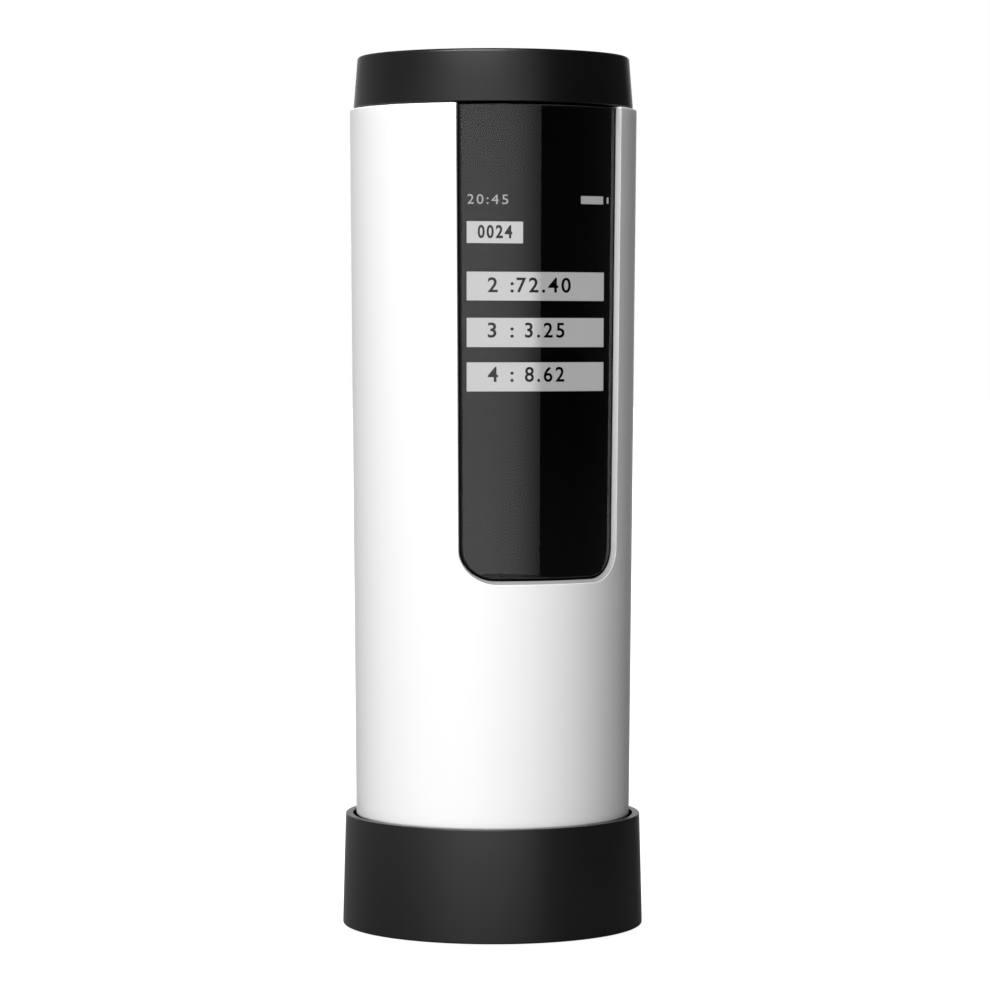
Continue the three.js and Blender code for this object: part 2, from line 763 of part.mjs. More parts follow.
function mainBoardPieces() {
  const board = box(
    -mainBoardHalfWidth, mainBoardHalfWidth, -mainBoardFront, -chassisFront,
    level.mainBoardFoot, level.mainBoardHead,
  );
  const holes = boardScrewPlaces.map(([side, height]) =>
    moved(laid(panHole(panScrewLength)), side * boardScrewOffset, -mainBoardFront - panHeadHeight, height));
  const chipFront = -mainBoardFront - processorHeight;
  const chip = box(-processorSide / 2, processorSide / 2, chipFront, -mainBoardFront, 0, processorSide);
  const radioFront = -mainBoardFront - radioHeight;
  const radio = box(-radioWidth / 2, radioWidth / 2, radioFront, -mainBoardFront, 0, radioLength);
  const screws = boardScrewPlaces.map(([side, height], number) =>
    piece(
      `board_screw_${number + 1}`, 'steel', laid(panScrew(panScrewLength)),
      side * boardScrewOffset, -mainBoardFront - panHeadHeight, height,
    ));
  return [
    piece('main_board', 'board', cut(board, ...holes)),
    piece('processor', 'chip', chip, 0, 0, level.processor),
    piece('radio_module', 'steel', radio, 0, 0, level.radio),
    ...screws,
  ];
}

// Nose: the black end that goes into the cup and holds the aperture and the optics

function nosePlate() {
  const shoulder = level.shellFoot;
  const spigotRadius = shellBore(level.shellFoot) - looseGap;
  const bore = housingRadius + looseGap;
  const well = insertRadius + snugGap;
  const profile = [
    [apertureLipRadius, level.nose],
    [noseRadius - noseEdgeBevel, level.nose],
    [noseRadius, level.nose + noseEdgeBevel],
    [noseRadius, shoulder],
    [spigotRadius, shoulder],
    [spigotRadius, shoulder + spigotLength],
    [bore, shoulder + spigotLength],
    [bore, level.noseFloorTop],
    [well, level.noseFloorTop],
    [well, level.nose + apertureLip],
    [apertureLipRadius, level.nose + apertureLip],
  ];
  const slotHalf = keyWidth / 2 + slideGap;
  const slotFront = guideRadius - keyDepth - slideGap;
  const keySlot = box(-slotHalf, slotHalf, slotFront, noseRadius + overrun, level.nose - overrun, shoulder);
  const upturned = (body) => body.scale([1, 1, -1]);
  const screws = around(fixingCount, noseScrewCircle, fixingsAtRear, (number, x, y) =>
    moved(upturned(sunkHole(noseScrewLength)), x, y, level.nose));
  const pocket = disc(magnetRadius + snugGap, -overrun, magnetHeight + looseGap, smallSegments);
  const pockets = around(fixingCount, retainerCircle, magnetsAtFront, (number, x, y) =>
    moved(pocket, x, y, level.nose));
  const body = cut(turned(profile, outerSegments), keySlot, ...screws, ...pockets);
  return piece('nose_plate', 'blackSatin', body);
}

function noseFittings() {
  const insertFoot = level.nose + apertureLip;
  const insert = ring(apertureRadius, insertRadius, 0, insertThickness);
  const glass = disc(insertRadius, 0, glassThickness);
  const magnet = disc(magnetRadius, 0, magnetHeight, smallSegments);
  const screw = sunkScrew(noseScrewLength).scale([1, 1, -1]);
  return [
    piece('aperture_insert', 'diffuser', insert, 0, 0, insertFoot),
    piece('aperture_glass', 'clearGlass', glass, 0, 0, insertFoot + insertThickness),
    ...around(fixingCount, retainerCircle, magnetsAtFront, (number, x, y) =>
      piece(`nose_magnet_${number}`, 'nickel', magnet, x, y, level.nose + snugGap)),
    ...around(fixingCount, noseScrewCircle, fixingsAtRear, (number, x, y) =>
      piece(`nose_screw_${number}`, 'steel', screw, x, y, level.nose + touchGap)),
  ];
}

// Integrating sphere: two white blocks with half a ball hollowed out of each

function hollowHalf(portRadius, blockHeight, rimHeight) {
  const portHeight = Math.sqrt(cavityRadius ** 2 - portRadius ** 2);
  const last = Math.atan2(portHeight, portRadius);
  const profile = [];
  const steps = 2 * roundSteps;
  for (let step = 0; step <= steps; step += 1) {
    const angle = (last * step) / steps;
    profile.push([cavityRadius * Math.cos(angle), cavityRadius * Math.sin(angle)]);
  }
  profile.push([portRadius, blockHeight]);
  if (rimHeight > 0) {
    profile.push([sphereRadius - sphereRim, blockHeight]);
    profile.push([sphereRadius - sphereRim, blockHeight + rimHeight]);
  }
  profile.push([sphereRadius, blockHeight + rimHeight]);
  profile.push([sphereRadius, 0]);
  return turned(profile, innerSegments);
}

function opticsPieces() {
  const lower = hollowHalf(apertureRadius, cavityRadius + cavityFloor, 0).scale([1, 1, -1]);
  const upperHeight = cavityRadius + cavityRoof;
  const port = disc(ledPortRadius, cavityRadius / 2, upperHeight + overrun, smallSegments);
  const ports = around(ledCount, ledCircle, 0, (number, x, y) => moved(port, x, y));
  const upper = cut(hollowHalf(lensPortRadius, upperHeight, ledSpace), ...ports);
  const led = box(-ledSide / 2, ledSide / 2, -ledSide / 2, ledSide / 2, -ledHeight, 0);
  const barrelHole = barrelNoseRadius + slideGap;
  return [
    piece('sphere_lower', 'diffuser', lower, 0, 0, level.sphereJoint),
    piece('sphere_upper', 'diffuser', upper, 0, 0, level.sphereJoint),
    opticsHousing(),
    piece('led_board', 'board', ring(barrelHole, ledBoardRadius, 0, boardThickness), 0, 0, level.ledBoard),
    ...around(ledCount, ledCircle, 0, (number, x, y) =>
      piece(`led_${number}`, 'ledBody', led, x, y, level.ledBoard)),
    lensBarrel(),
    lens(),
    piece('sensor_board', 'board', disc(housingRadius, 0, boardThickness), 0, 0, level.sensorBoard),
    piece(
      'colour_sensor', 'chip',
      box(-sensorSide / 2, sensorSide / 2, -sensorSide / 2, sensorSide / 2, -sensorHeight, 0),
      0, 0, level.sensorBoard,
    ),
  ];
}

function opticsHousing() {
  const profile = [
    [housingBoreRadius, level.noseFloorTop],
    [housingRadius, level.noseFloorTop],
    [housingRadius, level.sensorBoard],
    [housingHeadBore, level.sensorBoard],
    [housingHeadBore, level.ledBoard],
    [housingBoreRadius, level.ledBoard],
  ];
  const holes = around(fixingCount, noseScrewCircle, fixingsAtRear, (number, x, y) =>
    moved(sunkHole(noseScrewLength).scale([1, 1, -1]), x, y, level.nose));
  return piece('optics_housing', 'innerBlack', cut(turned(profile, innerSegments), ...holes));
}

function lensBarrel() {
  const seat = level.ledBoardTop + lensSeatHeight;
  const profile = [
    [barrelBoreRadius, level.ledBoardTop - barrelNoseLength],
    [barrelNoseRadius, level.ledBoardTop - barrelNoseLength],
    [barrelNoseRadius, level.ledBoardTop],
    [barrelFlangeRadius, level.ledBoardTop],
    [barrelFlangeRadius, level.ledBoardTop + barrelFlange],
    [barrelRadius, level.ledBoardTop + barrelFlange],
    [barrelRadius, level.barrelHead],
    [lensRadius + snugGap, level.barrelHead],
    [lensRadius + snugGap, seat],
    [barrelBoreRadius, seat],
  ];
  return piece('lens_barrel', 'innerBlack', turned(profile, innerSegments));
}

function lens() {
  const sphere = (lensRadius ** 2 + lensCrown ** 2) / (2 * lensCrown);
  const half = Math.asin(lensRadius / sphere);
  const profile = [[0, 0], [lensRadius, 0]];
  for (let step = 0; step <= roundSteps; step += 1) {
    const angle = half * (1 - step / roundSteps);
    const lift = sphere * (Math.cos(angle) - Math.cos(half));
    profile.push([step === roundSteps ? 0 : sphere * Math.sin(angle), lensEdge + lift]);
  }
  const foot = level.ledBoardTop + lensSeatHeight;
  return piece('lens', 'clearGlass', turned(profile, innerSegments), 0, 0, foot);
}

// Head: the board with the switch and the charging socket, the cap and the measuring button

function topBoardPieces() {
  const round = disc(topBoardRadius, 0, boardThickness, outerSegments);
  const front = -windowBack + bezelPlate;
  const frontCut = box(
    -topBoardRadius, topBoardRadius, -topBoardRadius - overrun, front,
    -overrun, boardThickness + overrun,
  );
  const holes = pillarPlaces.map((x) => moved(panHole(panScrewLength), x, pillarSetback, boardThickness));
  const screws = pillarPlaces.map((x, number) =>
    piece(
      `top_board_screw_${number + 1}`, 'steel', panScrew(panScrewLength),
      x, pillarSetback, level.topBoardTop + panHeadHeight,
    ));
  const plungerBore = stemRadius + snugGap;
  const boreFoot = switchHeight + plungerStand - plungerLength - buttonTravel - touchGap;
  const body = cut(
    disc(switchRadius, 0, switchHeight, innerSegments),
    disc(plungerBore, boreFoot, switchHeight + overrun, innerSegments),
  );
  return [
    piece('top_board', 'board', cut(round, frontCut, ...holes), 0, 0, level.topBoard),
    ...screws,
    piece('measure_switch', 'chip', body, 0, 0, level.topBoardTop),
  ];
}

function chargingSocket() {
  const mouth = shellRadius(level.socketFoot) - socketRecess;
  const back = mouth - socketDepth;
  const middle = level.socketFoot + socketHeight / 2;
  const outside = backPrism(socketOutline(0), back, mouth);
  const inside = backPrism(socketOutline(-socketWall), back + socketBack, mouth + overrun);
  const tongue = box(
    -tongueWidth / 2, tongueWidth / 2, back + socketBack / 2, mouth - tongueSetback,
    middle - tongueThickness / 2, middle + tongueThickness / 2,
  );
  return piece('charging_socket', 'steel', join(cut(outside, inside), tongue));
}

function topCap() {
  const foot = level.capFoot;
  const head = level.capHead;
  const round = capEdgeRound;
  const skirtFoot = foot - capSkirtDepth;
  const profile = [
    [capBoreRadius, skirtFoot],
    [capSkirtRadius, skirtFoot],
    [capSkirtRadius, foot],
    [capFootRadius, foot],
    ...arc(capHeadRadius - round, head - round, round, outward, upward),
    [buttonRadius + slideGap, head],
    [buttonRadius + slideGap, head - capPlate],
    [capBoreRadius, head - capPlate],
  ];
  const halfWidth = openingHalfWidth(foot) + slideGap;
  const windowNotch = box(
    -halfWidth, halfWidth, -capSkirtRadius - overrun, -windowBack + slideGap,
    skirtFoot - overrun, foot,
  );
  return piece('top_cap', 'blackSatin', cut(turned(profile, outerSegments), windowNotch));
}

function measureButton() {
  const head = level.capHead - buttonSink;
  const round = buttonEdgeRound;
  const flangeRadius = buttonRadius + buttonFlangeWidth;
  const dishRadius = buttonRadius - 2 * round;
  const profile = [
    [0, plungerTop + touchGap],
    [stemRadius, plungerTop + touchGap],
    [stemRadius, buttonFlangeFoot],
    [flangeRadius, buttonFlangeFoot],
    [flangeRadius, buttonFlangeTop],
    [buttonRadius, buttonFlangeTop],
    ...arc(buttonRadius - round, head - round, round, outward, upward),
    [dishRadius / 2, head - buttonDish * buttonDishMidShare],
    [0, head - buttonDish],
  ];
  return piece('measure_button', 'blackSatin', turned(profile, innerSegments));
}

// Centre line of the return spring: a helix whose rise per turn is even
class Helix extends THREE.Curve {
  getPoint(share, target = new THREE.Vector3()) {
    const angle = 2 * Math.PI * springTurns * share;
    const rise = (springHead - springFoot - springWire) * share;
    return target.set(springRadius * Math.cos(angle), springRadius * Math.sin(angle), rise);
  }
}

function buttonSpring() {
  const section = new THREE.Shape();
  for (let side = 0; side < springSides; side += 1) {
    const angle = (2 * Math.PI * side) / springSides;
    const point = [(springWire / 2) * Math.cos(angle), (springWire / 2) * Math.sin(angle)];
    if (side === 0) {
      section.moveTo(...point);
    } else {
      section.lineTo(...point);
    }
  }
  section.closePath();
  const geometry = new THREE.ExtrudeGeometry(section, {
    steps: springTurns * springSteps,
    extrudePath: new Helix(),
    bevelEnabled: false,
  });
  return piece('button_spring', 'steel', toSolid(geometry), 0, 0, springFoot + springWire / 2);
}

function buttonPieces() {
  const plunger = disc(stemRadius, -plungerLength, 0, innerSegments);
  const group = new THREE.Group();
  group.add(measureButton());
  group.add(piece('switch_plunger', 'padRubber', plunger, 0, 0, plungerTop));
  group.add(buttonSpring());
  return group;
}

function instrument() {
  const group = new THREE.Group();
  group.add(outerShell());
  group.add(displayWindow());
  group.add(displayBezel());
  group.add(displayModule());
  group.add(displayRibbon());
  group.add(chassis());
  group.add(cell());
  group.add(...cellFittings());
  group.add(...mainBoardPieces());
  group.add(nosePlate());
  group.add(...noseFittings());
  group.add(...opticsPieces());
  group.add(...topBoardPieces());
  group.add(chargingSocket());
  group.add(topCap());
  return group;
}

const colorimeter = new THREE.Group();
colorimeter.add(calibrationBase());
colorimeter.add(instrument());
colorimeter.add(buttonPieces());

export default colorimeter;
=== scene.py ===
"""Looks of a portable colorimeter: a tapered white tube that stands in a black calibration cup.

Every piece is a surface worked out as whole arrays, in the frame of the CAD part. Sizes are in
millimetres in the classes and become metres when a mesh is made.
"""
import logging
import math
from dataclasses import dataclass, field
from enum import Enum
from typing import Sequence

import bmesh
import bpy
import numpy as np
from mathutils import Matrix, Vector


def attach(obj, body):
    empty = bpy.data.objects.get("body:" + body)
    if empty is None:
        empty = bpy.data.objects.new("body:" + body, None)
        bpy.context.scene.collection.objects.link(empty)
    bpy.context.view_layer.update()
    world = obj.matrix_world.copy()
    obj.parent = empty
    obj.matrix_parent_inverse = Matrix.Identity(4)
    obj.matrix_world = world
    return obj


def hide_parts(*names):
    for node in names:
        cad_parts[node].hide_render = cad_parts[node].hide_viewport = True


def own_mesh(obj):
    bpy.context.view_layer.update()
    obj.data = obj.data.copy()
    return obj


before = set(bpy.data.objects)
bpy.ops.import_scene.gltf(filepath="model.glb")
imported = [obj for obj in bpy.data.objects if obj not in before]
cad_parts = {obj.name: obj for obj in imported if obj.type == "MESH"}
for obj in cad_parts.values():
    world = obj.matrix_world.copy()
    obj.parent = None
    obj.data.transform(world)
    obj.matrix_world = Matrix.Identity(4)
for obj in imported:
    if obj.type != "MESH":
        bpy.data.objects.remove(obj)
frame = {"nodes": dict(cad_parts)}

Grid = np.ndarray
Span = tuple[float, float]
Triple = tuple[float, float, float]
Box = tuple[float, float, float, float]
Inputs = dict[str | int, object]
Material = bpy.types.Material
Owner = Material | bpy.types.World | bpy.types.Light
Piece = bpy.types.Object
Socket = bpy.types.NodeSocket

MM = 0.001
WELD = 1e-6
TINY = 1e-9
SHARP_ANGLE = math.radians(38.0)
WHITE = (1.0, 1.0, 1.0, 1.0)
log = logging.getLogger("colorimeter")


class Body(Enum):
    """The bodies that pieces ride on."""

    BASE = "base"
    INSTRUMENT = "instrument"
    BUTTON = "button"


class Relief(Enum):
    """How the fine surface of a finish is shaped."""

    GRAIN = "grain"
    SPARK = "spark"
    BRUSHED = "brushed"
    PITTED = "pitted"
    TRACES = "traces"


@dataclass(frozen=True)
class Finish:
    """A surface finish, with its detail at the scale of the real one.

    Args:
        name: Name of the material.
        colour: Linear colour of the surface.
        roughness: Middle of its roughness.
        pitch_mm: Size of the smallest marks.
        depth_mm: Height of those marks.
        blotch: Share by which the colour changes over larger patches.
        spread: Change of roughness either side of the middle.
        relief: The kind of fine surface.
        metallic: One for bare metal.
        coat: Weight of a clear coat.
        second: Colour of the second material in a pattern, or under the fade.
        fade: Heights, in millimetres, where the second colour starts and ends easing to the first;
            the bevel's painted shade uses it.
        specular: Strength of its mirror-like part, a half being that of plain plastic.
    """

    name: str
    colour: Triple
    roughness: float
    pitch_mm: float
    depth_mm: float
    blotch: float
    spread: float
    relief: Relief = Relief.SPARK
    metallic: float = 0.0
    coat: float = 0.0
    second: Triple = (0.5, 0.5, 0.5)
    fade: Span = (0.0, 0.0)
    specular: float = 0.5


SHELL_WHITE = Finish("shell_white", (0.87, 0.87, 0.866), 0.42, 0.16, 0.0015, 0.006, 0.03,
                     specular=0.3)
# The opening's bevel: the white shell's edge coloured grey as painted shade, with more painted
# shade easing in towards the bottom.
EDGE_PAINTED_SHADE = Finish("edge_painted_shade", (0.62, 0.62, 0.617), 0.5, 0.16, 0.0015, 0.01, 0.03,
                   second=(0.3, 0.3, 0.298), fade=(42.9, 47.5), specular=0.3)
WALL_BLACK = Finish("wall_black", (0.014, 0.014, 0.0142), 0.8, 0.2, 0.002, 0.1, 0.03, specular=0.0)
RIM_BLACK = Finish("rim_black", (0.03, 0.03, 0.0305), 0.95, 0.2, 0.001, 0.1, 0.02, specular=0.0)
SATIN_BLACK = Finish("satin_black", (0.002, 0.002, 0.0021), 0.34, 0.14, 0.003, 0.12, 0.04)
CUP_BLACK = Finish("cup_black", (0.0068, 0.0068, 0.007), 0.34, 0.14, 0.003, 0.12, 0.04)
BUTTON_BLACK = Finish("button_black", (0.004, 0.004, 0.0042), 0.42, 0.18, 0.004, 0.12, 0.05)
INNER_BLACK = Finish("inner_black", (0.009, 0.009, 0.0095), 0.62, 0.3, 0.006, 0.15, 0.06)
CHIP = Finish("chip", (0.012, 0.012, 0.013), 0.6, 0.12, 0.004, 0.15, 0.05)
BLACK_PRINT = Finish("black_print", (0.0008, 0.0008, 0.0009), 0.95, 0.2, 0.001, 0.1, 0.03,
                     Relief.GRAIN, specular=0.0)
CERAMIC = Finish("ceramic", (0.88, 0.88, 0.865), 0.12, 1.6, 0.002, 0.02, 0.04, Relief.GRAIN,
                 coat=0.6)
DIFFUSER = Finish("diffuser", (0.93, 0.93, 0.92), 0.85, 0.12, 0.004, 0.01, 0.04, Relief.GRAIN)
NICKEL = Finish("nickel", (0.66, 0.62, 0.54), 0.2, 0.2, 0.001, 0.06, 0.05, Relief.GRAIN,
                metallic=1.0)
SLEEVE = Finish("sleeve", (0.028, 0.11, 0.26), 0.35, 2.5, 0.02, 0.05, 0.06, Relief.GRAIN, coat=0.4)
PHOSPHOR = Finish("phosphor", (0.88, 0.84, 0.58), 0.55, 0.1, 0.004, 0.08, 0.05, Relief.GRAIN)
STEEL = Finish("steel", (0.58, 0.58, 0.6), 0.3, 0.1, 0.002, 0.08, 0.08, Relief.BRUSHED,
               metallic=1.0)
FILM = Finish("film", (0.46, 0.18, 0.02), 0.4, 0.5, 0.003, 0.08, 0.05, Relief.BRUSHED)
RUBBER = Finish("rubber", (0.018, 0.018, 0.019), 0.78, 0.35, 0.01, 0.2, 0.08, Relief.PITTED)
FOAM = Finish("foam", (0.035, 0.035, 0.038), 0.95, 0.25, 0.03, 0.25, 0.04, Relief.PITTED)
BOARD = Finish("board", (0.007, 0.09, 0.035), 0.38, 1.2, 0.03, 0.1, 0.05, Relief.TRACES,
               coat=0.3, second=(0.02, 0.17, 0.06))


class Graph:
    """A node tree whose nodes are added with their inputs given at once."""

    shaders = ("Principled BSDF", "Background", "Emission")

    def __init__(self, owner: Owner) -> None:
        """Opens the tree of a material, a world or a lamp, which starts with one shader."""
        owner.use_nodes = True
        self.owner, self.tree = owner, owner.node_tree
        self.shader = next(node for node in self.tree.nodes if node.name in self.shaders)

    def fill(self, node: bpy.types.Node, inputs: Inputs) -> None:
        """Links the inputs that are given as sockets and sets the others.

        Args:
            node: The node.
            inputs: Socket or value of each input, by its name or number.
        """
        for name, value in inputs.items():
            if isinstance(value, Socket):
                self.tree.links.new(value, node.inputs[name])
            else:
                node.inputs[name].default_value = value

    def shade(self, inputs: Inputs) -> Owner:
        """Fills the shader, and gives back what the tree belongs to."""
        self.fill(self.shader, inputs)
        return self.owner

    def add(self, kind: str, output: str, inputs: Inputs, mode: str | float = "") -> Socket:
        """Adds a node and gives one of its outputs.

        Args:
            kind: The node's type, without the start that all types share.
            output: Name of the output.
            inputs: Socket or value of each input, by its name or number.
            mode: What a maths node does or a mixing one mixes, how a mapping one eases, or how
                far a brick one shifts its rows.

        Returns:
            The output's socket.
        """
        node = self.tree.nodes.new("ShaderNode" + kind)
        if kind == "Mix":
            node.data_type = mode
        elif kind == "MapRange":
            node.interpolation_type = mode
        elif kind == "TexBrick":
            node.offset = mode
        elif mode:
            node.operation = mode
        self.fill(node, inputs)
        return node.outputs[output]

    def mapped(self, source: Socket, values: Sequence[float], span: Sequence[float] = (0.0, 1.0),
               mode: str = "LINEAR") -> Socket:
        """Leads a number from one value to another while a source crosses a span.

        Args:
            source: Socket of the source.
            values: Values at the span's start and end.
            span: Where on the source the change starts and ends.
            mode: LINEAR, or SMOOTHSTEP for a slow start and end.

        Returns:
            The number's socket.
        """
        names = ("From Min", "From Max", "To Min", "To Max")
        inputs = {"Value": source, **dict(zip(names, (*span, *values)))}
        return self.add("MapRange", "Result", inputs, mode)

    def maths(self, mode: str, first: Socket, second: Socket) -> Socket:
        """Works out one number from two."""
        return self.add("Math", "Value", {0: first, 1: second}, mode)

    def mixed(self, factor: Socket, first: object, second: object, mode: str = "RGBA") -> Socket:
        """Mixes two colours, or two numbers in the mode FLOAT."""
        return self.add("Mix", "Result", {"Factor": factor, "A": first, "B": second}, mode)

    def place(self) -> Socket:
        """Gives the piece's own Object coordinates."""
        return self.add("TexCoord", "Object", {})

    def axis(self, source: Socket, name: str) -> Socket:
        """Takes one axis of a vector."""
        return self.add("SeparateXYZ", name, {"Vector": source})

    def noise(self, source: Socket, scale: float, detail: float, roughness: float = 0.5) -> Socket:
        """Makes noise from 0 to 1, whose marks are one over the scale wide."""
        inputs = {"Vector": source, "Scale": scale, "Detail": detail, "Roughness": roughness}
        return self.add("TexNoise", "Fac", inputs)


@dataclass
class Dyer:
    """Turns finishes into node materials that read the pieces' own Object coordinates."""

    made: dict[str, Material] = field(default_factory=dict)
    brushed_share: float = 0.04
    mortar_share: float = 0.09
    brick_shift: float = 0.37
    spark_noise: Span = (4.0, 0.62)
    grain_noise: Span = (2.0, 0.5)
    patch_detail: float = 3.0
    patch_mm: float = 7.0
    bump: float = 0.5
    wiping: float = 0.01
    wiping_mm: float = 2.5
    lit_ease: Span = (-1.3, 0.4)
    lit_grain: Span = (0.97, 1.03)
    lit_pitch_mm: float = 0.12
    lit_base: float = 0.01
    lit_roughness: float = 0.5

    def _relief(self, graph: Graph, finish: Finish) -> Socket:
        """Makes the height pattern of a finish.

        The pattern is noise of the finish's pitch. Brushed surfaces stretch it along +Z, pitted
        ones use the distance to the nearest of scattered points, and boards use bricks.

        Args:
            graph: Graph that the nodes go in.
            finish: The finish.

        Returns:
            The height's socket, from 0 to 1.
        """
        scale = 1.0 / (finish.pitch_mm * MM)
        along = self.brushed_share if finish.relief is Relief.BRUSHED else 1.0
        spot = graph.add("Mapping", "Vector",
                         {"Vector": graph.place(), "Scale": (scale, scale, scale * along)})
        if finish.relief is Relief.PITTED:
            return graph.add("TexVoronoi", "Distance", {"Vector": spot, "Scale": 1.0})
        if finish.relief is Relief.TRACES:
            inputs = {"Vector": spot, "Scale": 1.0, "Mortar Size": self.mortar_share}
            return graph.add("TexBrick", "Fac", inputs, self.brick_shift)
        spark = finish.relief is Relief.SPARK
        return graph.noise(spot, 1.0, *(self.spark_noise if spark else self.grain_noise))

    def _patches(self, graph: Graph, size_mm: float) -> Socket:
        """Makes slow noise for handling marks and changes of colour."""
        return graph.noise(graph.place(), 1.0 / (size_mm * MM), self.patch_detail)

    def plain(self, finish: Finish) -> Material:
        """Makes the material of a finish, once.

        Args:
            finish: The finish.

        Returns:
            Its material.
        """
        if finish.name in self.made:
            return self.made[finish.name]
        graph = Graph(bpy.data.materials.new(finish.name))
        height, patches = self._relief(graph, finish), self._patches(graph, self.patch_mm)
        dark, light = ((*(min(value * (1.0 + change), 1.0) for value in finish.colour), 1.0)
                       for change in (-finish.blotch, finish.blotch))
        second = (*finish.second, 1.0)
        colour = graph.mixed(patches, dark, light)
        if finish.relief is Relief.TRACES:
            colour = graph.mixed(height, colour, second)
        # A fade eases the colour to the second one below its heights; on the opening's bevel this
        # darkens it towards the bottom as painted shade.
        if finish.fade[1] > 0.0:
            levels = [level * MM for level in finish.fade]
            ease = graph.mapped(graph.axis(graph.place(), "Z"), (0.0, 1.0), levels, "SMOOTHSTEP")
            colour = graph.mixed(ease, second, colour)
        low, high = finish.roughness - finish.spread, min(finish.roughness + finish.spread, 1.0)
        normal = graph.add("Bump", "Normal", {"Strength": self.bump, "Height": height,
                                              "Distance": finish.depth_mm * MM})
        self.made[finish.name] = graph.shade({
            "Base Color": colour, "Roughness": graph.mapped(patches, (low, high)),
            "Normal": normal, "Metallic": finish.metallic, "Coat Weight": finish.coat,
            "Specular IOR Level": finish.specular})
        return self.made[finish.name]

    def clear(self, name: str, ior: float) -> Material:
        """Makes a clear, polished material with faint wiping marks in its roughness, once.

        Args:
            name: Name of the material.
            ior: Index of refraction.

        Returns:
            The material.
        """
        if name not in self.made:
            graph = Graph(bpy.data.materials.new(name))
            marks = graph.mapped(self._patches(graph, self.wiping_mm), (0.0, self.wiping))
            self.made[name] = graph.shade({"Base Color": WHITE, "Roughness": marks, "IOR": ior,
                                           "Transmission Weight": 1.0})
        return self.made[name]

    def lit(self, name: str, left: float, right: float, split_mm: float) -> Material:
        """Makes the lit area of the display, brighter on its left than on its right, where a
        reflection is painted in.

        The glow eases down across X in Object coordinates around the split, and fine noise
        changes it by up to 3%.

        Args:
            name: Name of the material.
            left: Glow left of the split, raised by the painted reflection.
            right: Glow right of it.
            split_mm: Place of the split on X.

        Returns:
            The material.
        """
        graph = Graph(bpy.data.materials.new(name))
        place = graph.place()
        # Painted reflection: the glow steps down from the left level to the right one across the
        # split.
        glow_with_painted_reflection = graph.mapped(graph.axis(place, "X"), (left, right),
                            [(split_mm + ease) * MM for ease in self.lit_ease], "SMOOTHSTEP")
        pixels = graph.noise(place, 1.0 / (self.lit_pitch_mm * MM), self.grain_noise[0])
        glow = graph.maths("MULTIPLY", glow_with_painted_reflection, graph.mapped(pixels, self.lit_grain))
        colour = graph.add("CombineXYZ", "Vector", dict.fromkeys("XYZ", glow))
        return graph.shade({"Emission Color": colour, "Emission Strength": 1.0,
                            "Roughness": self.lit_roughness,
                            "Base Color": (self.lit_base,) * 3 + (1.0,)})


def rounded(corners: Sequence[Triple], steps: int = 6, closed: bool = False) -> Grid:
    """Rounds the corners of a line in a plane.

    Each corner P with directions a and b towards its neighbours gets the arc of radius r that
    touches both sides: its centre lies on the line halfway between them, r over the sine of half
    the angle from P, and its points turn evenly from one touching point to the other.

    Args:
        corners: Places across and up, with the radius of each.
        steps: Points on each arc.
        closed: Whether the last corner joins the first.

    Returns:
        Points of the rounded line, two numbers each.
    """
    data = np.asarray(corners, float)
    place, radius = data[:, :2], data[:, 2].copy()
    before, after = np.roll(place, 1, axis=0), np.roll(place, -1, axis=0)
    if not closed:
        before[0] = place[0] + (place[0] - place[1])
        after[-1] = place[-1] + (place[-1] - place[-2])
        radius[0] = radius[-1] = 0.0
    back, ahead = ((side - place) / np.linalg.norm(side - place, axis=1, keepdims=True)
                   for side in (before, after))
    half = 0.5 * np.arccos(np.clip((back * ahead).sum(axis=1), -1.0, 1.0))
    middle = back + ahead
    length = np.linalg.norm(middle, axis=1, keepdims=True)
    middle = np.divide(middle, length, out=np.zeros_like(middle), where=length > TINY)
    centre = place + middle * (radius / np.sin(half))[:, None]
    reach = (radius / np.tan(half))[:, None]
    turn = np.maximum(math.pi - 2.0 * half, 1e-6)[:, None]
    share = np.linspace(0.0, 1.0, steps)[None, :]
    first, last = (np.sin(part * turn) / np.sin(turn) for part in (1.0 - share, share))
    start, end = (place + side * reach - centre for side in (back, ahead))
    arcs = centre[:, None] + first[..., None] * start[:, None] + last[..., None] * end[:, None]
    points = arcs.reshape(-1, 2)
    moved = np.linalg.norm(np.diff(points, axis=0), axis=1) > 1e-7
    return points[np.concatenate([[True], moved])]


def joined(*parts: Grid | float) -> Grid:
    """Joins numbers along a new last axis, each of them spread over the shape of all."""
    return np.stack(np.broadcast_arrays(*parts), axis=-1)


def about(radius: Grid, azimuth: Grid, height: Grid) -> Grid:
    """Puts points about +Z at (r sin a, -r cos a, z), so that azimuth 0 is the front."""
    return joined(radius * np.sin(azimuth), -radius * np.cos(azimuth), height)


def turned(profile: Grid, azimuths: Grid) -> Grid:
    """Turns a profile of radius and height about +Z, along rows, to azimuths along columns."""
    return about(profile[:, :1], azimuths[None, :], profile[:, 1:])


def full_turn(count: int = 360) -> Grid:
    """Gives evenly spaced azimuths of a whole turn, without the closing one."""
    return np.linspace(0.0, 2.0 * math.pi, count, endpoint=False)


def linked(name: str, data: bpy.types.ID) -> Piece:
    """Makes an object and puts it into the scene.

    Args:
        name: Name of the object.
        data: Its mesh, curve, lamp or camera.

    Returns:
        The object.
    """
    made = bpy.data.objects.new(name, data)
    bpy.context.scene.collection.objects.link(made)
    return made


def faced(mesh: bpy.types.Mesh, direction: Triple) -> None:
    """Turns a flat mesh over if it faces away from a direction."""
    if mesh.polygons[0].normal.dot(Vector(direction)) < 0.0:
        mesh.flip_normals()


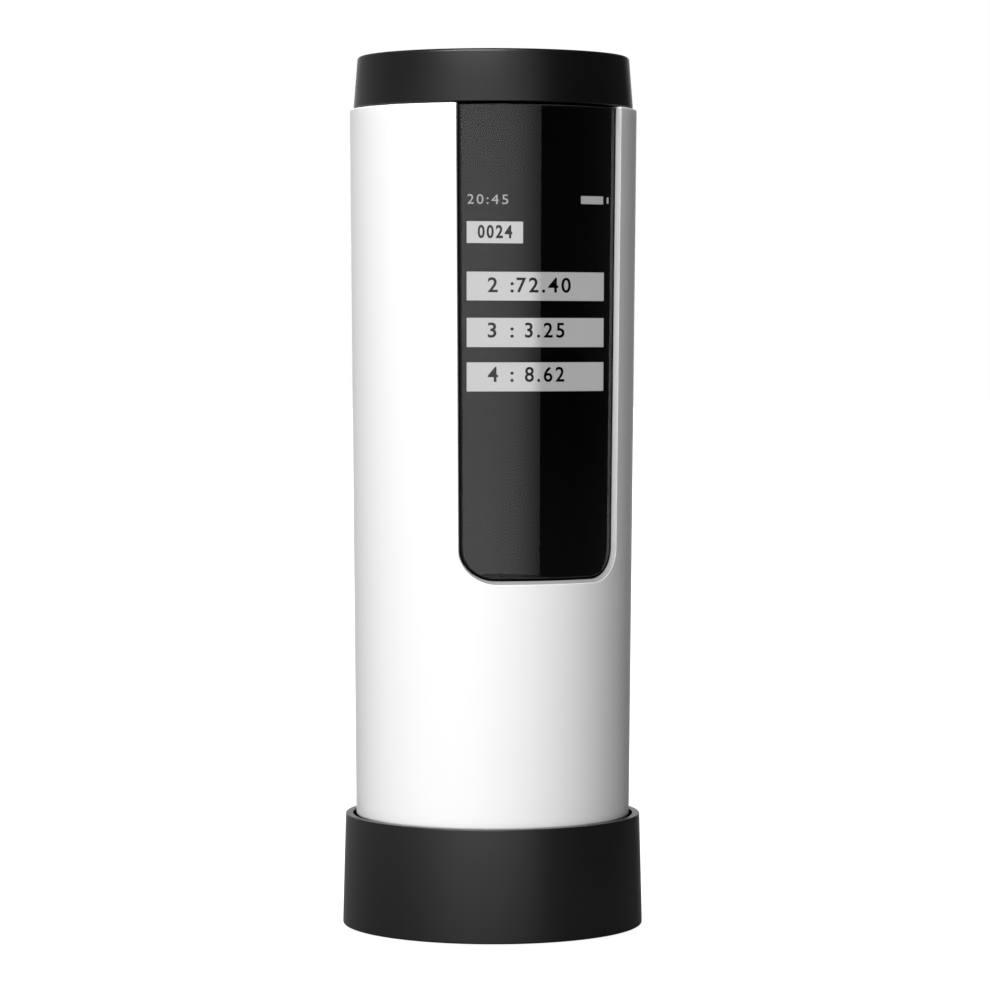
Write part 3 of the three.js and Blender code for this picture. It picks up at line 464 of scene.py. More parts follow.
class Skin:
    """Gathers grids of points, in millimetres, and welds them into one smooth piece."""

    def __init__(self, name: str) -> None:
        """Starts an empty skin of a piece's name."""
        self.name = name
        self._points: list[Grid] = []
        self._faces: list[Grid] = []
        self._slots: list[Grid] = []
        self._count = 0

    def add(self, grid: Grid, around: bool = False, slot: int = 0) -> "Skin":
        """Adds the four-sided faces between the neighbours of a grid.

        Args:
            grid: Rows by columns by three.
            around: Whether the last column joins the first.
            slot: Material slot of the faces.

        Returns:
            The skin itself.
        """
        rows, columns = grid.shape[:2]
        index = np.arange(rows * columns).reshape(rows, columns) + self._count
        if around:
            index = np.concatenate([index, index[:, :1]], axis=1)
        faces = np.stack([index[:-1, :-1], index[:-1, 1:], index[1:, 1:], index[1:, :-1]], axis=-1)
        self._points.append(grid.reshape(-1, 3))
        self._faces.append(faces.reshape(-1, 4))
        self._slots.append(np.full(faces.shape[0] * faces.shape[1], slot))
        self._count += rows * columns
        return self

    def build(self, *materials: Material) -> Piece:
        """Makes the piece: welds doubles, turns faces outwards and shades it smooth.

        Args:
            materials: Its materials, one for each slot used.

        Returns:
            The piece's object.
        """
        mesh = bpy.data.meshes.new(self.name)
        points, faces = np.concatenate(self._points) * MM, np.concatenate(self._faces)
        mesh.from_pydata(points, [], faces.tolist())
        for material in materials:
            mesh.materials.append(material)
        slots = np.concatenate(self._slots).astype(np.int32)
        mesh.polygons.foreach_set("material_index", slots)
        work = bmesh.new()
        work.from_mesh(mesh)
        bmesh.ops.remove_doubles(work, verts=work.verts, dist=WELD)
        bmesh.ops.dissolve_degenerate(work, edges=work.edges, dist=WELD * 0.1)
        bmesh.ops.recalc_face_normals(work, faces=work.faces)
        work.to_mesh(mesh)
        work.free()
        mesh.shade_smooth()
        mesh.set_sharp_from_angle(angle=SHARP_ANGLE)
        return linked(self.name, mesh)


@dataclass
class Tube:
    """The slightly tapered tube that the shell and the window are parts of."""

    foot: float = 13.1
    head: float = 98.32
    foot_radius: float = 16.53
    head_radius: float = 17.28
    wall: float = 1.3

    def radius(self, height: Grid | float) -> Grid:
        """Gives the outer radius at a height: it grows evenly from foot to head."""
        share = (np.asarray(height, float) - self.foot) / (self.head - self.foot)
        return self.foot_radius + (self.head_radius - self.foot_radius) * share

    def cone(self, azimuth: Grid, height: Grid, depth: float = 0.0) -> Grid:
        """Puts azimuths and heights on the tube, a depth under its surface."""
        return about(self.radius(height) - depth, azimuth, height)

    def front(self, across: Grid, height: Grid, depth: Grid | float) -> Grid:
        """Puts places seen from straight ahead on it, at (x, -sqrt((R - depth)^2 - x^2), z)."""
        return joined(across, -np.sqrt((self.radius(height) - depth) ** 2 - across**2), height)


@dataclass
class Opening:
    """The U-shaped opening in the front of the tube, seen from straight ahead."""

    foot: float = 42.42
    foot_half: float = 9.843
    head_half: float = 10.269
    corner: float = 3.7
    head: float = 98.32
    side_points: int = 40
    arc_points: int = 48
    floor_points: int = 48

    def heights(self, head: float) -> Grid:
        """Gives the heights down a straight side, from the head given to the corner's start."""
        return np.linspace(head, self.foot + self.corner, self.side_points, endpoint=False)

    def half(self, height: Grid) -> Grid:
        """Gives the half-width above the corner, which grows evenly to the head."""
        share = (height - self.foot - self.corner) / (self.head - self.foot - self.corner)
        return self.foot_half + (self.head_half - self.foot_half) * share

    def path(self, grow: float, head: float) -> Grid:
        """Follows the U down its left side, round the bottom and up its right side.

        The corners are quarter circles about one centre whatever the growth.

        Args:
            grow: How far outside the opening the path lies.
            head: Height that the sides start from.

        Returns:
            Places across and up, two numbers each.
        """
        side = self.heights(head)
        angle = np.linspace(math.pi, 1.5 * math.pi, self.arc_points)
        centre = np.array([self.corner - self.foot_half, self.foot + self.corner])
        arc = centre + (self.corner + grow) * joined(np.cos(angle), np.sin(angle))
        left = np.concatenate([joined(-self.half(side) - grow, side), arc])
        run = np.linspace(centre[0], -centre[0], self.floor_points + 2)[1:-1]
        floor = joined(run, self.foot - grow)
        return np.concatenate([left, floor, left[::-1] * np.array([-1.0, 1.0])])


@dataclass
class OuterShell:
    """White shell: a tapered tube with the window's opening in front and a socket hole behind."""

    dyer: Dyer
    tube: Tube
    opening: Opening
    bevel: float = 0.36
    bevel_depth: float = 0.76
    bevel_round: float = 0.08
    recess: float = 0.7
    wall_past: float = 0.3
    edge_round: float = 0.2
    foot_round: float = 0.5
    inner_round: float = 0.1
    inner_head: float = 3.0
    inner_foot: float = 4.0
    socket_height: float = 93.89
    socket_half: float = 2.87
    socket_radius: float = 1.8
    lip_round: float = 0.3
    front_reach: float = 32.0
    back_ease: float = 1.4
    rows: int = 46
    foot_points: int = 96
    round_points: int = 8

    def _socket(self, azimuth: Grid, height: Grid, grow: float) -> tuple[Grid, Grid]:
        """Finds the socket hole's edge in the direction of each outer point.

        The hole is a straight slot with round ends. In direction f its edge is at r / |sin f|
        where that meets a straight side, and otherwise on the end's circle.

        Args:
            azimuth: Outer points' azimuths.
            height: Their heights.
            grow: How far outside the hole the path lies.

        Returns:
            Azimuths and heights of the edge points.
        """
        size = float(self.tube.radius(self.socket_height))
        turn = np.arctan2(height - self.socket_height, (azimuth - math.pi) * size)
        level, up = np.cos(turn), np.sin(turn)
        radius, half = self.socket_radius + grow, self.socket_half
        flat = radius / np.maximum(np.abs(up), TINY)
        cap = half * np.abs(level) + np.sqrt(np.maximum(radius**2 - (half * up) ** 2, 0.0))
        reach = np.where(np.abs(flat * level) <= half, flat, cap)
        return math.pi + reach * level / size, self.socket_height + reach * up

    def _end(self, level: float, end: float, corner: float, inner: float) -> Grid:
        """Turns over one end of the tube: insets and heights from outside to inside."""
        wall = self.tube.wall
        return rounded([(0.0, level, 0.0), (0.0, end, corner), (wall, end, self.inner_round),
                        (wall, inner, 0.0)], self.round_points)

    def _rim(self, inset: Grid, level: float, azimuth: Grid) -> Grid:
        """Carries insets from the tube's radius at a level, and heights, to azimuths."""
        return about(float(self.tube.radius(level)) - inset[:, :1], azimuth, inset[:, 1:])

    def build(self) -> Piece:
        """Makes the shell as welded patches.

        The front patch spreads from the opening's edge to the tube's sides and foot, and the back
        one from the socket's hole to the same sides. Bands then turn over each edge.

        Returns:
            The shell's piece.
        """
        tube, opening = self.tube, self.opening
        foot, head = tube.foot + self.foot_round, tube.head - self.edge_round
        quarter, reach = 0.5 * math.pi, math.radians(self.front_reach)
        skin = Skin("white_shell")

        start = self.bevel + 2.0 * self.bevel_round
        edge = opening.path(start, head)
        edge_turn = np.arcsin(edge[:, 0] / tube.radius(edge[:, 1]))
        side = opening.heights(head)
        first = opening.arc_points // 2
        last = opening.arc_points - first
        down = np.concatenate([side, np.linspace(side[-1], foot, first + 1)[1:]])
        left = np.concatenate([np.full(len(down), -quarter),
                               np.linspace(-quarter, -reach, last + 1)[1:]])
        across = np.linspace(-reach, reach, opening.floor_points + 2)[1:-1]
        rim_turn = np.concatenate([left, across, -left[::-1]])
        rim_height = np.full_like(rim_turn, foot)
        rim_height[:len(down)], rim_height[-len(down):] = down, down[::-1]
        share = np.linspace(0.0, 1.0, self.rows)[:, None]
        front_turn = edge_turn + (rim_turn - edge_turn) * share
        skin.add(tube.cone(front_turn, edge[:, 1] + (rim_height - edge[:, 1]) * share))

        sweep = np.linspace(quarter, 3.0 * quarter, self.foot_points)[1:-1]
        flat = np.ones_like(sweep)
        upright = np.ones_like(down)
        box = (np.concatenate([upright * quarter, sweep, upright * 3.0 * quarter, sweep[::-1]]),
               np.concatenate([down, flat * foot, down[::-1], flat * head]))
        lip = rounded([(self.lip_round * 3.0, 0.0, 0.0), (0.0, 0.0, self.lip_round),
                       (0.0, tube.wall, 0.0)], self.round_points)
        hole = self._socket(*box, float(lip[0, 0]))
        ease = share**self.back_ease
        skin.add(tube.cone(*(near + (far - near) * ease for near, far in zip(hole, box))),
                 around=True)
        skin.add(np.stack([tube.cone(*self._socket(*box, grow), deep) for grow, deep in lip]),
                 around=True)

        lost = self.bevel * (1.0 - self.bevel_depth / self.recess)
        band = rounded([(start, 0.0, 0.0), (self.bevel, 0.0, self.bevel_round),
                        (lost, self.bevel_depth, 0.0), (0.0, self.recess, self.bevel_round),
                        (0.0, tube.wall + self.wall_past, 0.0)], self.round_points - 1)
        outlines = np.stack([opening.path(grow, head) for grow in band[:, 0]])
        depths = band[:, 1:]
        wall = tube.front(outlines[..., 0], outlines[..., 1], depths)
        # Rows of the bevel get the grey of painted shade; the deeper rows of the wall are black.
        painted_shade_row = self.round_points
        dark = int(np.argmin(np.abs(band[:, 1] - self.bevel_depth)))
        for slot, rows in enumerate((wall[:painted_shade_row], wall[painted_shade_row - 1:dark + 1], wall[dark:])):
            skin.add(rows, slot=slot)

        top = self._end(head, tube.head, self.edge_round, tube.head - self.inner_head)
        skin.add(self._rim(top, head, np.concatenate(
            [front_turn[:, 0], -sweep, front_turn[::-1, -1] - 4.0 * quarter])))
        for sign in (-1.0, 1.0):
            corner = sign * np.abs(outlines[:, :1, 0])
            radius = tube.radius(head) - depths - top[:, 0]
            radius = np.maximum(radius, np.abs(corner) + self.inner_round)
            skin.add(joined(corner, -np.sqrt(radius**2 - corner**2), top[:, 1]))
        under = self._end(foot, tube.foot, self.foot_round, tube.foot + self.inner_foot)
        foot_turn = np.concatenate([rim_turn[rim_height == foot], sweep])
        skin.add(self._rim(under, foot, foot_turn), around=True)

        finishes = (SHELL_WHITE, EDGE_PAINTED_SHADE, WALL_BLACK)
        piece = skin.build(*(self.dyer.plain(finish) for finish in finishes))
        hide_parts("outer_shell")
        return piece


@dataclass
class DisplayWindow:
    """Clear block in the opening: curved in front, and flat behind on the dark display."""

    dyer: Dyer
    tube: Tube
    opening: Opening
    gap: float = 0.3
    recess: float = 0.7
    back: float = 11.51
    head: float = 98.14
    edge_round: float = 0.05
    columns: int = 120
    edge_column: float = 0.004
    ior: float = 1.49

    def _sheet(self, inset: float, sink: float | None = None) -> Grid:
        """Fills the U between its two sides with rows that run straight across.

        The first and last columns are very narrow, so that the rim's rounding ends there in shine
        too. The points lie on the tube's front, sunk under it, or on the flat back.

        Args:
            inset: How far inside the block's outline the sheet ends.
            sink: How far under the block's face it lies, or None for the back.

        Returns:
            Grid of points, from the top row down.
        """
        count = self.opening.side_points + self.opening.arc_points
        left = self.opening.path(-self.gap - inset, self.head - inset)[:count]
        inner = np.linspace(self.edge_column - 1.0, 1.0 - self.edge_column, self.columns)
        across = -left[:, :1] * np.concatenate([[-1.0], inner, [1.0]])
        if sink is None:
            return joined(across, -self.back, left[:, 1:])
        return self.tube.front(across, left[:, 1:], self.recess + sink)

    def build(self) -> Piece:
        """Makes the block: its curved face, its rounded rim, its sides and its flat back.

        Returns:
            The window's piece.
        """
        size = self.edge_round
        rim = rounded([(size * 2.0, 0.0, 0.0), (0.0, 0.0, size), (0.0, size * 2.0, 0.0)])
        sheets = [*(self._sheet(inset, sink) for inset, sink in rim), self._sheet(0.0)]
        loops = [np.concatenate([grid[0, :-1], grid[:-1, -1], grid[-1, :0:-1], grid[:0:-1, 0]])
                 for grid in sheets]
        skin = Skin("display_block").add(sheets[0]).add(np.stack(loops), around=True, slot=2)
        skin.add(sheets[-1], slot=1)
        piece = skin.build(self.dyer.clear("clear_acrylic", self.ior),
                           self.dyer.plain(BLACK_PRINT), self.dyer.plain(RIM_BLACK))
        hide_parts("display_window")
        return piece


@dataclass
class Display:
    """What is lit on the display at the window's back: bars, plain numbers and a battery.

    Args:
        dyer: Maker of materials.
        front: Distance of the display from the axis.
        layer: How far in front of it the numbers lie.
        split: X where the bars' glow changes; left of it a painted reflection brightens them.
        glows: Name of each glow, with its level left and right of the split.
        signs: Name, finish, text, box (left, right, foot, head), and radius of the corners or, for
            a text, the share of its height by which the strokes are thickened.
        font_share: Height of a figure as a share of the font's size.
        spacing: Distance between figures as a share of the font's own.
        curve_steps: Points on each curve of a figure.
        corner_steps: Points on each corner of a patch.
        columns: Columns of a patch.
    """

    dyer: Dyer
    front: float = 11.52
    layer: float = 0.008
    split: float = 0.5
    # The bars glow brighter left of the split: a painted reflection.
    glows: tuple[tuple[str, float, float], ...] = (
        ("lit_bars_painted_reflection", 0.57, 0.355), ("lit_sign", 0.3, 0.3), ("lit_clock", 0.42, 0.42))
    signs: tuple[tuple[str, str, str, Box, float], ...] = (
        ("reading_bar_1", "lit_bars_painted_reflection", "", (-8.22, 8.25, 75.33, 78.7), 0.05),
        ("row_number_1", "black_print", "2 :", (-5.64, -2.6, 76.33, 78.09), 0.022),
        ("reading_1", "black_print", "72.40", (-2.3, 3.93, 76.33, 78.09), 0.022),
        ("reading_bar_2", "lit_bars_painted_reflection", "", (-8.22, 8.25, 69.87, 73.3), 0.05),
        ("row_number_2", "black_print", "3 :", (-5.64, -2.6, 71.03, 72.79), 0.022),
        ("reading_2", "black_print", "3.25", (-1.32, 3.2, 71.03, 72.79), 0.022),
        ("reading_bar_3", "lit_bars_painted_reflection", "", (-8.22, 8.25, 64.67, 68.08), 0.05),
        ("row_number_3", "black_print", "4 :", (-5.64, -2.6, 65.83, 67.59), 0.022),
        ("reading_3", "black_print", "8.62", (-1.32, 3.2, 65.83, 67.59), 0.022),
        ("number_tag", "lit_bars_painted_reflection", "", (-8.22, -1.55, 82.04, 84.59), 0.05),
        ("tag_number", "black_print", "0024", (-6.86, -2.78, 82.68, 84.18), 0.038),
        ("battery_sign", "lit_sign", "", (5.12, 8.08, 86.77, 87.71), 0.08),
        ("battery_tip", "lit_sign", "", (8.62, 8.92, 86.86, 87.62), 0.1),
        ("clock_number", "lit_clock", "20:45", (-8.14, -3.25, 86.63, 87.79), 0.0),
    )
    font_share: float = 0.72
    spacing: float = 1.25
    curve_steps: int = 6
    corner_steps: int = 8
    columns: int = 9

    def _plate(self, name: str, box: Box, corner: float, material: Material) -> Piece:
        """Makes a flat patch, whose rows run straight across between two mirrored sides.

        Args:
            name: Name of the piece.
            box: Left, right, foot and head.
            corner: Radius of its corners.
            material: Its material.

        Returns:
            The piece.
        """
        left, right, foot, head = box
        half = 0.5 * (right - left)
        side = rounded([(0.0, head, 0.0), (half, head, corner), (half, foot, corner),
                        (0.0, foot, 0.0)], self.corner_steps)
        across = 0.5 * (left + right) + side[:, :1] * np.linspace(-1.0, 1.0, self.columns)
        return Skin(name).add(joined(across, -self.front, side[:, 1:])).build(material)

    def _number(self, name: str, text: str, box: Box, weight: float, material: Material) -> Piece:
        """Writes plain figures, drawn out or in to fill their box.

        Args:
            name: Name of the piece.
            text: The figures.
            box: Left, right, foot and head.
            weight: Share of the height by which the strokes are thickened.
            material: Its material.

        Returns:
            The piece.
        """
        left, right, foot, head = (side * MM for side in box)
        curve = bpy.data.curves.new(name, "FONT")
        curve.body = text
        curve.size = (head - foot) / self.font_share
        curve.offset = weight * (head - foot)
        curve.space_character = self.spacing
        curve.resolution_u = self.curve_steps
        source = linked(name + "_curve", curve)
        bpy.context.view_layer.update()
        mesh = bpy.data.meshes.new_from_object(source)
        bpy.data.objects.remove(source)
        mesh.transform(Matrix.Rotation(math.radians(90.0), 4, "X"))
        places = np.empty(3 * len(mesh.vertices))
        mesh.vertices.foreach_get("co", places)
        stretch = (right - left) / float(np.ptp(places[0::3]))
        mesh.transform(Matrix.Scale(stretch, 4, Vector((1.0, 0.0, 0.0))))
        start, deep = left - stretch * float(places[0::3].min()), -(self.front + self.layer) * MM
        mesh.transform(Matrix.Translation(Vector((start, deep, foot))))
        mesh.materials.clear()
        mesh.materials.append(material)
        mesh.name = name
        return linked(name, mesh)

    def build(self) -> list[Piece]:
        """Makes everything that is lit on the display.

        Returns:
            The display's pieces.
        """
        paints = {name: self.dyer.lit(name, *glow, self.split) for name, *glow in self.glows}
        paints[BLACK_PRINT.name] = self.dyer.plain(BLACK_PRINT)
        made = []
        for name, paint, text, box, detail in self.signs:
            piece = (self._number(name, text, box, detail, paints[paint]) if text
                     else self._plate(name, box, detail, paints[paint]))
            faced(piece.data, (0.0, -1.0, 0.0))
            made.append(piece)
        return made


@dataclass
class TopCap:
    """Black cap with the hole for the button, and a skirt that goes into the shell."""

    dyer: Dyer
    foot: float = 98.44
    head: float = 104.65
    foot_radius: float = 16.84
    head_radius: float = 16.35
    foot_round: float = 0.15
    edge_round: float = 0.4
    hole: float = 8.3
    hole_round: float = 0.18
    under_round: float = 0.1
    plate: float = 1.6
    bore: float = 14.3
    skirt_radius: float = 15.88
    skirt_foot: float = 95.94
    skirt_columns: int = 240
    round_points: int = 8
    notch_half: float = 10.57

    def build(self) -> Piece:
        """Turns the cap's closed profile, and its skirt except where the window is.

        Returns:
            The cap's piece.
        """
        under = self.head - self.plate
        body = rounded([(self.bore, self.foot, 0.0), (self.foot_radius, self.foot, self.foot_round),
                        (self.head_radius, self.head, self.edge_round),
                        (self.hole, self.head, self.hole_round),
                        (self.hole, under, self.under_round), (self.bore, under, 0.0)],
                       self.round_points, closed=True)
        skin = Skin("black_cap")
        skin.add(turned(np.concatenate([body, body[:1]]), full_turn()), around=True)
        start = math.asin(self.notch_half / self.bore)
        sweep = np.linspace(start, 2.0 * math.pi - start, self.skirt_columns)
        skirt = np.array([(self.bore, self.foot), (self.bore, self.skirt_foot),
                          (self.skirt_radius, self.skirt_foot), (self.skirt_radius, self.foot)])
        skin.add(turned(skirt, sweep))
        ends = turned(skirt[[0, 3, 1, 2]], sweep[[0, -1]]).reshape(2, 2, 2, 3)
        skin.add(ends[:, :, 0]).add(ends[:, :, 1])
        piece = skin.build(self.dyer.plain(SATIN_BLACK))
        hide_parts("top_cap")
        return piece


@dataclass
class MeasureButton:
    """Round button in the cap, with a dished top, a flange under the cap and a short stem."""

    dyer: Dyer
    head: float = 104.35
    radius: float = 8.0
    dish: float = 0.35
    edge: float = 0.9
    edge_round: float = 0.4
    flange_radius: float = 9.4
    flange_head: float = 103.0
    flange_foot: float = 101.8
    flange_round: float = 0.1
    stem_radius: float = 1.6
    stem_foot: float = 98.74
    round_points: int = 8
    dish_points: int = 24

    def build(self) -> Piece:
        """Turns the button's profile; the dish falls with the square of the distance to its edge.

        Returns:
            The button's piece.
        """
        small, reach = self.flange_round, self.radius - self.edge
        edge = rounded([(0.0, self.stem_foot, 0.0), (self.stem_radius, self.stem_foot, small),
                        (self.stem_radius, self.flange_foot, 0.0),
                        (self.flange_radius, self.flange_foot, small),
                        (self.flange_radius, self.flange_head, small),
                        (self.radius, self.flange_head, 0.0),
                        (self.radius, self.head, self.edge_round), (reach, self.head, 0.0)],
                       self.round_points)
        across = np.linspace(reach, 0.0, self.dish_points)[1:]
        dish = self.head - self.dish * (1.0 - (across / reach) ** 2)
        profile = np.concatenate([edge, joined(across, dish)])
        skin = Skin("top_button").add(turned(profile, full_turn()), around=True)
        piece = skin.build(self.dyer.plain(BUTTON_BLACK))
        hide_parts("measure_button")
        return piece


@dataclass
class ButtonSpring:
    """Coil spring between the small upper board and the button's flange."""

    dyer: Dyer
    foot: float = 96.587
    head: float = 101.731
    radius: float = 5.4
    wire: float = 0.35
    turns: int = 4
    steps: int = 56
    tip_steps: int = 5
    sides: int = 16
    travel: float = 0.6

    def build(self) -> Piece:
        """Carries a round wire along a helix whose rise is even, and rounds off both ends.

        A point is the helix's centre, plus the wire's radius times the cosine of the angle round
        the wire along the helix's radius, and times its sine along the binormal. At an end the
        wire's radius falls as a sine while its centre runs out as a cosine, which is half a ball.

        Returns:
            The spring's piece.
        """
        tip = np.linspace(0.0, 0.5 * math.pi, self.tip_steps + 1)[:-1]
        share = np.pad(np.linspace(0.0, 1.0, self.turns * self.steps), self.tip_steps, "edge")
        body = np.zeros(self.turns * self.steps)
        run = self.wire * np.concatenate([-np.cos(tip), body, np.cos(tip[::-1])])
        thick = self.wire * np.concatenate([np.sin(tip), body + 1.0, np.sin(tip[::-1])])
        angle = 2.0 * math.pi * self.turns * share
        length = self.head - self.foot
        rise = length - 2.0 * self.wire
        slope = rise / (2.0 * math.pi * self.turns * self.radius)
        out = joined(np.cos(angle), np.sin(angle), 0.0)
        along = joined(-np.sin(angle), np.cos(angle), slope) / math.hypot(1.0, slope)
        up = np.cross(out, along)
        centre = self.radius * out + run[:, None] * along
        centre[:, 2] += self.foot + self.wire + rise * share
        round_wire = full_turn(self.sides)
        grid = (centre[:, None] + (thick[:, None] * np.cos(round_wire))[..., None] * out[:, None]
                + (thick[:, None] * np.sin(round_wire))[..., None] * up[:, None])
        piece = Skin("return_spring").add(grid, around=True).build(self.dyer.plain(STEEL))
        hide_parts("button_spring")
        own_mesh(piece)
        return piece


@dataclass
class CalibrationCup:
    """Black cup that the tube stands in, with a groove for its pad and a key rib inside."""

    dyer: Dyer
    lift: float = 0.05
    height: float = 13.45
    foot_radius: float = 18.165
    rim_radius: float = 17.815
    rim_bore: float = 16.935
    foot_round: float = 0.2
    rim_round: float = 0.14
    bore_round: float = 0.2
    small_round: float = 0.1
    recess: float = 11.25
    bore: float = 16.04
    floor: float = 2.6
    pad: Triple = (9.295, 15.695, 0.85)
    key_half: float = 1.2
    key_front: float = 15.14
    key_into: float = 0.4
    key_round: float = 0.3
    key_levels: tuple[Span, ...] = ((6.5, 0.12), (6.65, 0.0), (10.85, 0.0), (11.25, 0.35))
    round_points: int = 10

    def build(self) -> list[Piece]:
        """Turns the cup's profile, and carries the rib's outline up, smaller at foot and head.

        Returns:
            The cup and its rib.
        """
        inner, outer, deep = self.pad
        small, bore = self.small_round, self.bore_round
        profile = rounded([
            (0.0, self.lift, 0.0), (inner, self.lift, small), (inner, deep, 0.0),
            (outer, deep, 0.0), (outer, self.lift, small),
            (self.foot_radius, self.lift, self.foot_round),
            (self.rim_radius, self.height, self.rim_round), (self.rim_bore, self.height, small),
            (self.rim_bore, self.recess, small), (self.bore, self.recess, bore),
            (self.bore, self.floor, bore), (0.0, self.floor, 0.0)], self.round_points)
        black = self.dyer.plain(CUP_BLACK)
        cup = Skin("black_cup").add(turned(profile, full_turn()), around=True).build(black)
        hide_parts("calibration_cup")
        half, back, corner = self.key_half, self.bore + self.key_into, self.key_round
        outline = rounded([(-half, back, 0.0), (-half, self.key_front, corner),
                           (half, self.key_front, corner), (half, back, 0.0)])
        levels, shrink = np.array(self.key_levels).T[..., None]
        across = outline[:, 0] * (1.0 - shrink / half)
        deep = outline[:, 1] + shrink * (outline[:, 1] < self.bore)
        grid = joined(across, deep, levels)
        skin = Skin("key_rib").add(grid)
        for row in (grid[0], grid[-1]):
            skin.add(np.stack([row, row[::-1]])[:, :len(row) // 2 + 1])
        rib = skin.build(black)
        return [cup, rib]


@dataclass
class CarriedNodes:
    """CAD nodes that stay as they are and only get a finish."""

    dyer: Dyer
    finishes: tuple[tuple[str, Finish], ...] = (
        ("foot_pad", RUBBER), ("switch_plunger", RUBBER), ("tile_cushion", FOAM),
        ("calibration_tile", CERAMIC), ("tile_retainer", SATIN_BLACK), ("nose_plate", SATIN_BLACK),
        ("retainer_screw", STEEL), ("nose_screw", STEEL), ("board_screw", STEEL),
        ("top_board_screw", STEEL), ("cup_magnet", NICKEL), ("nose_magnet", NICKEL),
        ("battery_contact", NICKEL), ("aperture_insert", DIFFUSER), ("sphere", DIFFUSER),
        ("charging_socket", STEEL), ("radio_module", STEEL), ("battery_cell", SLEEVE),
        ("display_ribbon", FILM), ("led_board", BOARD), ("led_", PHOSPHOR), ("main_board", BOARD),
        ("top_board", BOARD), ("sensor_board", BOARD), ("processor", CHIP),
        ("colour_sensor", CHIP), ("measure_switch", CHIP), ("display_module", BLACK_PRINT),
        ("", INNER_BLACK),
    )
    glass: tuple[str, ...] = ("aperture_glass", "lens")
    ior: float = 1.52

    def dress(self, nodes: dict[str, Piece]) -> int:
        """Gives each node the finish of the first entry that its name starts with.

        Args:
            nodes: The CAD nodes by name.

        Returns:
            How many nodes were dressed.
        """
        for name, node in nodes.items():
            finish = next(finish for start, finish in self.finishes if name.startswith(start))
            glass = name in self.glass
            node.data.materials.clear()
            node.data.materials.append(self.dyer.clear("clear_glass", self.ior) if glass
                                       else self.dyer.plain(finish))
        return len(nodes)


